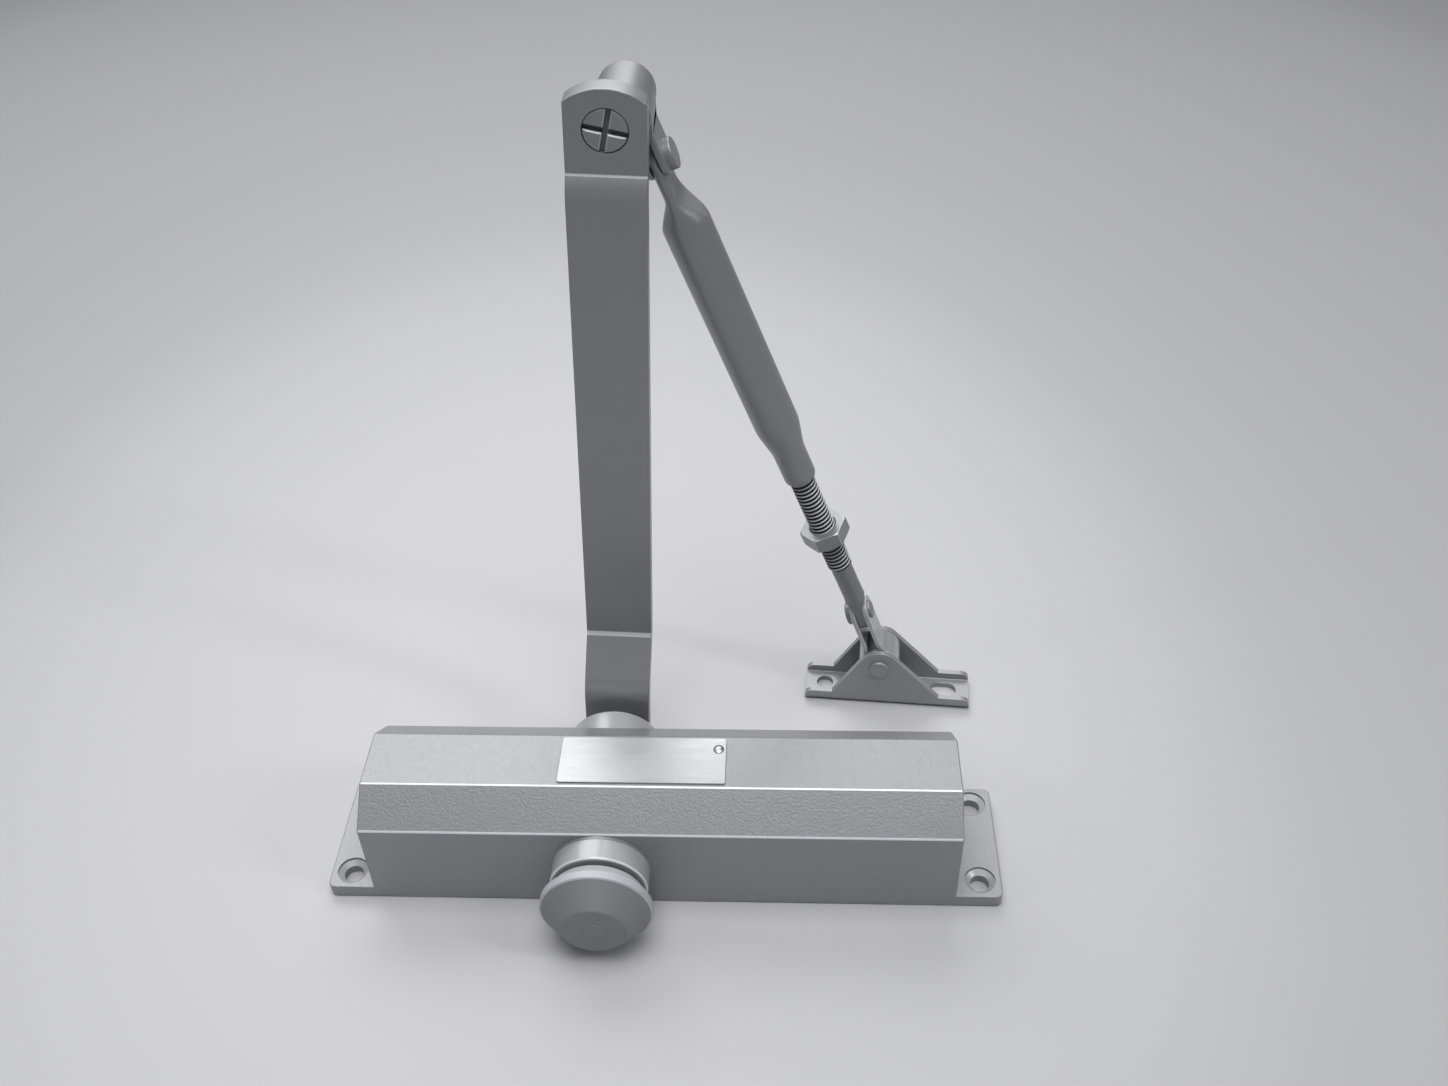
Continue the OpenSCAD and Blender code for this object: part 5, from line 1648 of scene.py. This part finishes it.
    def sleeve(self) -> None:
        """Turn the ribbed sleeve inside the strap's loop."""
        length = self.depth - 2 * self.thickness - 0.02
        ribs = int(length / self.rib_pitch)
        rest = (length - ribs * self.rib_pitch) / 2
        crest, root = self.sleeve_radius, self.sleeve_radius - self.rib_depth
        profile = [(3.05, 0), (root, 0)]
        for rib in range(ribs):
            base = rest + rib * self.rib_pitch
            profile += [(root + 0.02, base + 0.1), (crest - 0.1, base + 0.5), (crest, base + 0.7)]
            profile += [(crest, base + 1.0), (crest - 0.1, base + 1.2), (root + 0.02, base + 1.6)]
        profile += [(root, length), (3.05, length)]
        sleeve = Workpiece.turned("foot_sleeve_turned", profile, 72)
        sleeve.done(Body.FOOT, Slot.ROD_STEEL, ["foot_sleeve"], self.chain.at_foot() @ along_y(-length / 2))

    def pivot_rivet(self) -> None:
        """Turn the bracket's rivet with a low round head at each side."""
        out = self.depth / 2 + 0.01
        head = rivet_profile(3.0, 2 * out, self.pivot_head, self.pivot_head_height, 0.6)
        rivet = Workpiece.turned("foot_rivet_turned", head, 64).turn(along_y(-out, back=True))
        formed = rivet_profile(2.9, 1, self.pivot_head, self.pivot_head_height, 0.6)
        rivet.fuse(Workpiece.turned("other_head", formed, 64).turn(along_y(out)))
        rivet.done(Body.FOOT, Slot.FOOT_PAINT, ["foot_rivet"], self.chain.at_foot())


@dataclass
class Studio:
    """The pale floor, the lamps, the surrounding light and the camera."""

    image_size: Point2 = (1448.0, 1086.0)
    focal_pixels: float = 1386.8
    sensor: float = 36.0
    camera_place: Point3 = (40.59, -314.84, 418.78)
    yaw: float = -3.01
    pitch: float = 40.68
    roll: float = 1.62
    floor_size: float = 6.0

    def build(self) -> None:
        """Set up the whole studio."""
        self.camera()
        self.floor()
        self.lamps()
        self.surroundings()
        bpy.context.scene.view_settings.view_transform = "Standard"

    def camera(self) -> None:
        """Place the camera at the picture's viewing angle."""
        yaw, pitch, roll = (math.radians(a) for a in (self.yaw, self.pitch, self.roll))
        ahead = Vector((math.sin(yaw) * math.cos(pitch), math.cos(yaw) * math.cos(pitch), -math.sin(pitch)))
        right = Vector((math.cos(yaw), -math.sin(yaw), 0))
        down = ahead.cross(right)
        side = math.cos(roll) * right + math.sin(roll) * down
        below = -math.sin(roll) * right + math.cos(roll) * down
        turn = Matrix((side, -below, -ahead)).transposed().to_4x4()
        lens = bpy.data.cameras.new("camera")
        lens.sensor_width = self.sensor
        lens.lens = self.focal_pixels / self.image_size[0] * self.sensor
        lens.clip_start, lens.clip_end = 0.01, 50
        camera = bpy.data.objects.new("camera", lens)
        camera.matrix_world = Matrix.Translation(Vector(self.camera_place) * MM) @ turn
        bpy.context.scene.collection.objects.link(camera)
        bpy.context.scene.camera = camera

    def floor(self) -> None:
        """Lay the floor with a pool of light painted into its colour: pale in the middle and greyer towards
        the back.
        """
        start_clean()
        bpy.ops.mesh.primitive_plane_add(size=self.floor_size, location=(0, 0, -FLOOR_GAP))
        floor = bpy.context.object
        floor.name = "studio_floor"
        bpy.ops.object.transform_apply(location=True, rotation=True, scale=True)
        material = bpy.data.materials.new("studio_floor")
        material.use_nodes = True
        tree = material.node_tree
        shader = tree.nodes["Principled BSDF"]
        shader.inputs["Roughness"].default_value = 0.75
        place = tree.nodes.new("ShaderNodeTexCoord")
        painted_light_pool = tree.nodes.new("ShaderNodeMapping")
        painted_light_pool.inputs["Location"].default_value = (0.07, -0.07, 0.0)
        painted_light_pool.inputs["Scale"].default_value = (1.2, 0.9, 0.0)
        tree.links.new(place.outputs["Object"], painted_light_pool.inputs["Vector"])
        reach = tree.nodes.new("ShaderNodeVectorMath")
        reach.operation = "LENGTH"
        tree.links.new(painted_light_pool.outputs["Vector"], reach.inputs[0])
        # The ramp paints the pool of light, paler near the middle and greyer outwards.
        ramp = tree.nodes.new("ShaderNodeValToRGB")
        ramp.color_ramp.elements[0].color = (0.50, 0.495, 0.51, 1)
        ramp.color_ramp.elements[1].color = (0.28, 0.28, 0.288, 1)
        for reached, grey in ((0.19, 0.455), (0.30, 0.41), (0.37, 0.352), (0.50, 0.33), (0.92, 0.325)):
            ring = ramp.color_ramp.elements.new(reached)
            ring.color = (grey, grey, grey * 1.028, 1)
        ramp.color_ramp.interpolation = "B_SPLINE"
        tree.links.new(reach.outputs["Value"], ramp.inputs["Fac"])
        tree.links.new(ramp.outputs["Color"], shader.inputs["Base Color"])
        floor.data.materials.append(material)

    def lamps(self) -> None:
        """Hang broad soft lamps behind and overhead, small ones at the sides and a low strip in front."""
        self._lamp("behind", (-0.25, 0.85, 1.0), (0.0, 0.03, 0.1), (1.3, 0.7), 10.5)
        self._lamp("overhead", (0.0, -0.15, 1.35), (0.0, 0.03, 0.1), (0.9, 0.9), 14.0)
        self._lamp("right_side", (0.85, -0.25, 0.75), (0.0, 0.0, 0.05), (0.12, 0.35), 2.2)
        self._lamp("left_side", (-0.85, -0.25, 0.75), (0.0, 0.0, 0.05), (0.10, 0.35), 0.5)
        self._lamp("front_strip", (0.0, -1.5, 0.32), (0.0, 0.0, 0.05), (1.6, 0.2), 0.65)

    @staticmethod
    def _lamp(name: str, place: Point3, aim: Point3, size: Point2, power: float) -> None:
        """Hang a rectangular lamp.

        Args:
            name: The lamp's name.
            place: Where it hangs, in metres.
            aim: What it points at.
            size: Its width and depth, in metres.
            power: Its power in watts.
        """
        lamp = bpy.data.lights.new(name, "AREA")
        lamp.shape = "RECTANGLE"
        lamp.size, lamp.size_y = size
        lamp.energy = power
        holder = bpy.data.objects.new(name, lamp)
        holder.location = place
        holder.rotation_euler = (Vector(aim) - Vector(place)).to_track_quat("-Z", "Y").to_euler()
        bpy.context.scene.collection.objects.link(holder)

    def surroundings(self) -> None:
        """Light the scene softly from all round, more from above than from the front."""
        world = bpy.data.worlds.new("studio")
        world.use_nodes = True
        bpy.context.scene.world = world
        tree = world.node_tree
        background = tree.nodes["Background"]
        place = tree.nodes.new("ShaderNodeTexCoord")
        split = tree.nodes.new("ShaderNodeSeparateXYZ")
        tree.links.new(place.outputs["Generated"], split.inputs["Vector"])
        ramp = tree.nodes.new("ShaderNodeValToRGB")
        ramp.color_ramp.elements[0].position = 0.0
        ramp.color_ramp.elements[0].color = (0.10, 0.10, 0.105, 1)
        ramp.color_ramp.elements[1].position = 1.0
        ramp.color_ramp.elements[1].color = (0.75, 0.76, 0.78, 1)
        low = ramp.color_ramp.elements.new(0.35)
        low.color = (0.20, 0.20, 0.21, 1)
        tree.links.new(split.outputs["Z"], ramp.inputs["Fac"])
        tree.links.new(ramp.outputs["Color"], background.inputs["Color"])
        background.inputs["Strength"].default_value = 0.45


def dress_frame() -> None:
    """Give every node of the frame its finish, as the record's slots say."""
    slots = {entry["node"]: entry["material_slot"] for entry in frame["record"]["subparts"]}
    for name, node in frame["nodes"].items():
        material = PALETTE[Slot(slots[name])]
        node.data.materials.clear()
        node.data.materials.append(material)
        log.info("%s: dressed in %s", name, material.name)


def main() -> None:
    """Build the finishes, the object and the studio."""
    logging.basicConfig(level=logging.INFO, format="%(name)s: %(message)s")
    for finish in FINISHES:
        PALETTE[finish.slot] = finish.build()
        # Each finish with an edge factor gets a copy whose colour paints a highlight (on the plate a shadow
        # outline) on edges, bands and creases.
        EDGE_LIGHT_AND_SHADE[finish.slot] = finish.edge_light_and_wear().build("_edge") if finish.edge else PALETTE[finish.slot]
        CUTS[finish.slot] = PALETTE[finish.slot]
    for finish in GROOVES:
        CUTS[finish.slot] = finish.build("_cut")
    dress_frame()
    Studio().build()
    chain = Linkage()
    groups: tuple[Callable[[Linkage], object], ...] = (
        CloserBody, SpindleGroup, ElbowGroup, ForearmGroup, FootGroup,
    )
    for group in groups:
        log.info("building %s", group.__name__)
        group(chain).build()


if __name__ == "__main__":
    main()
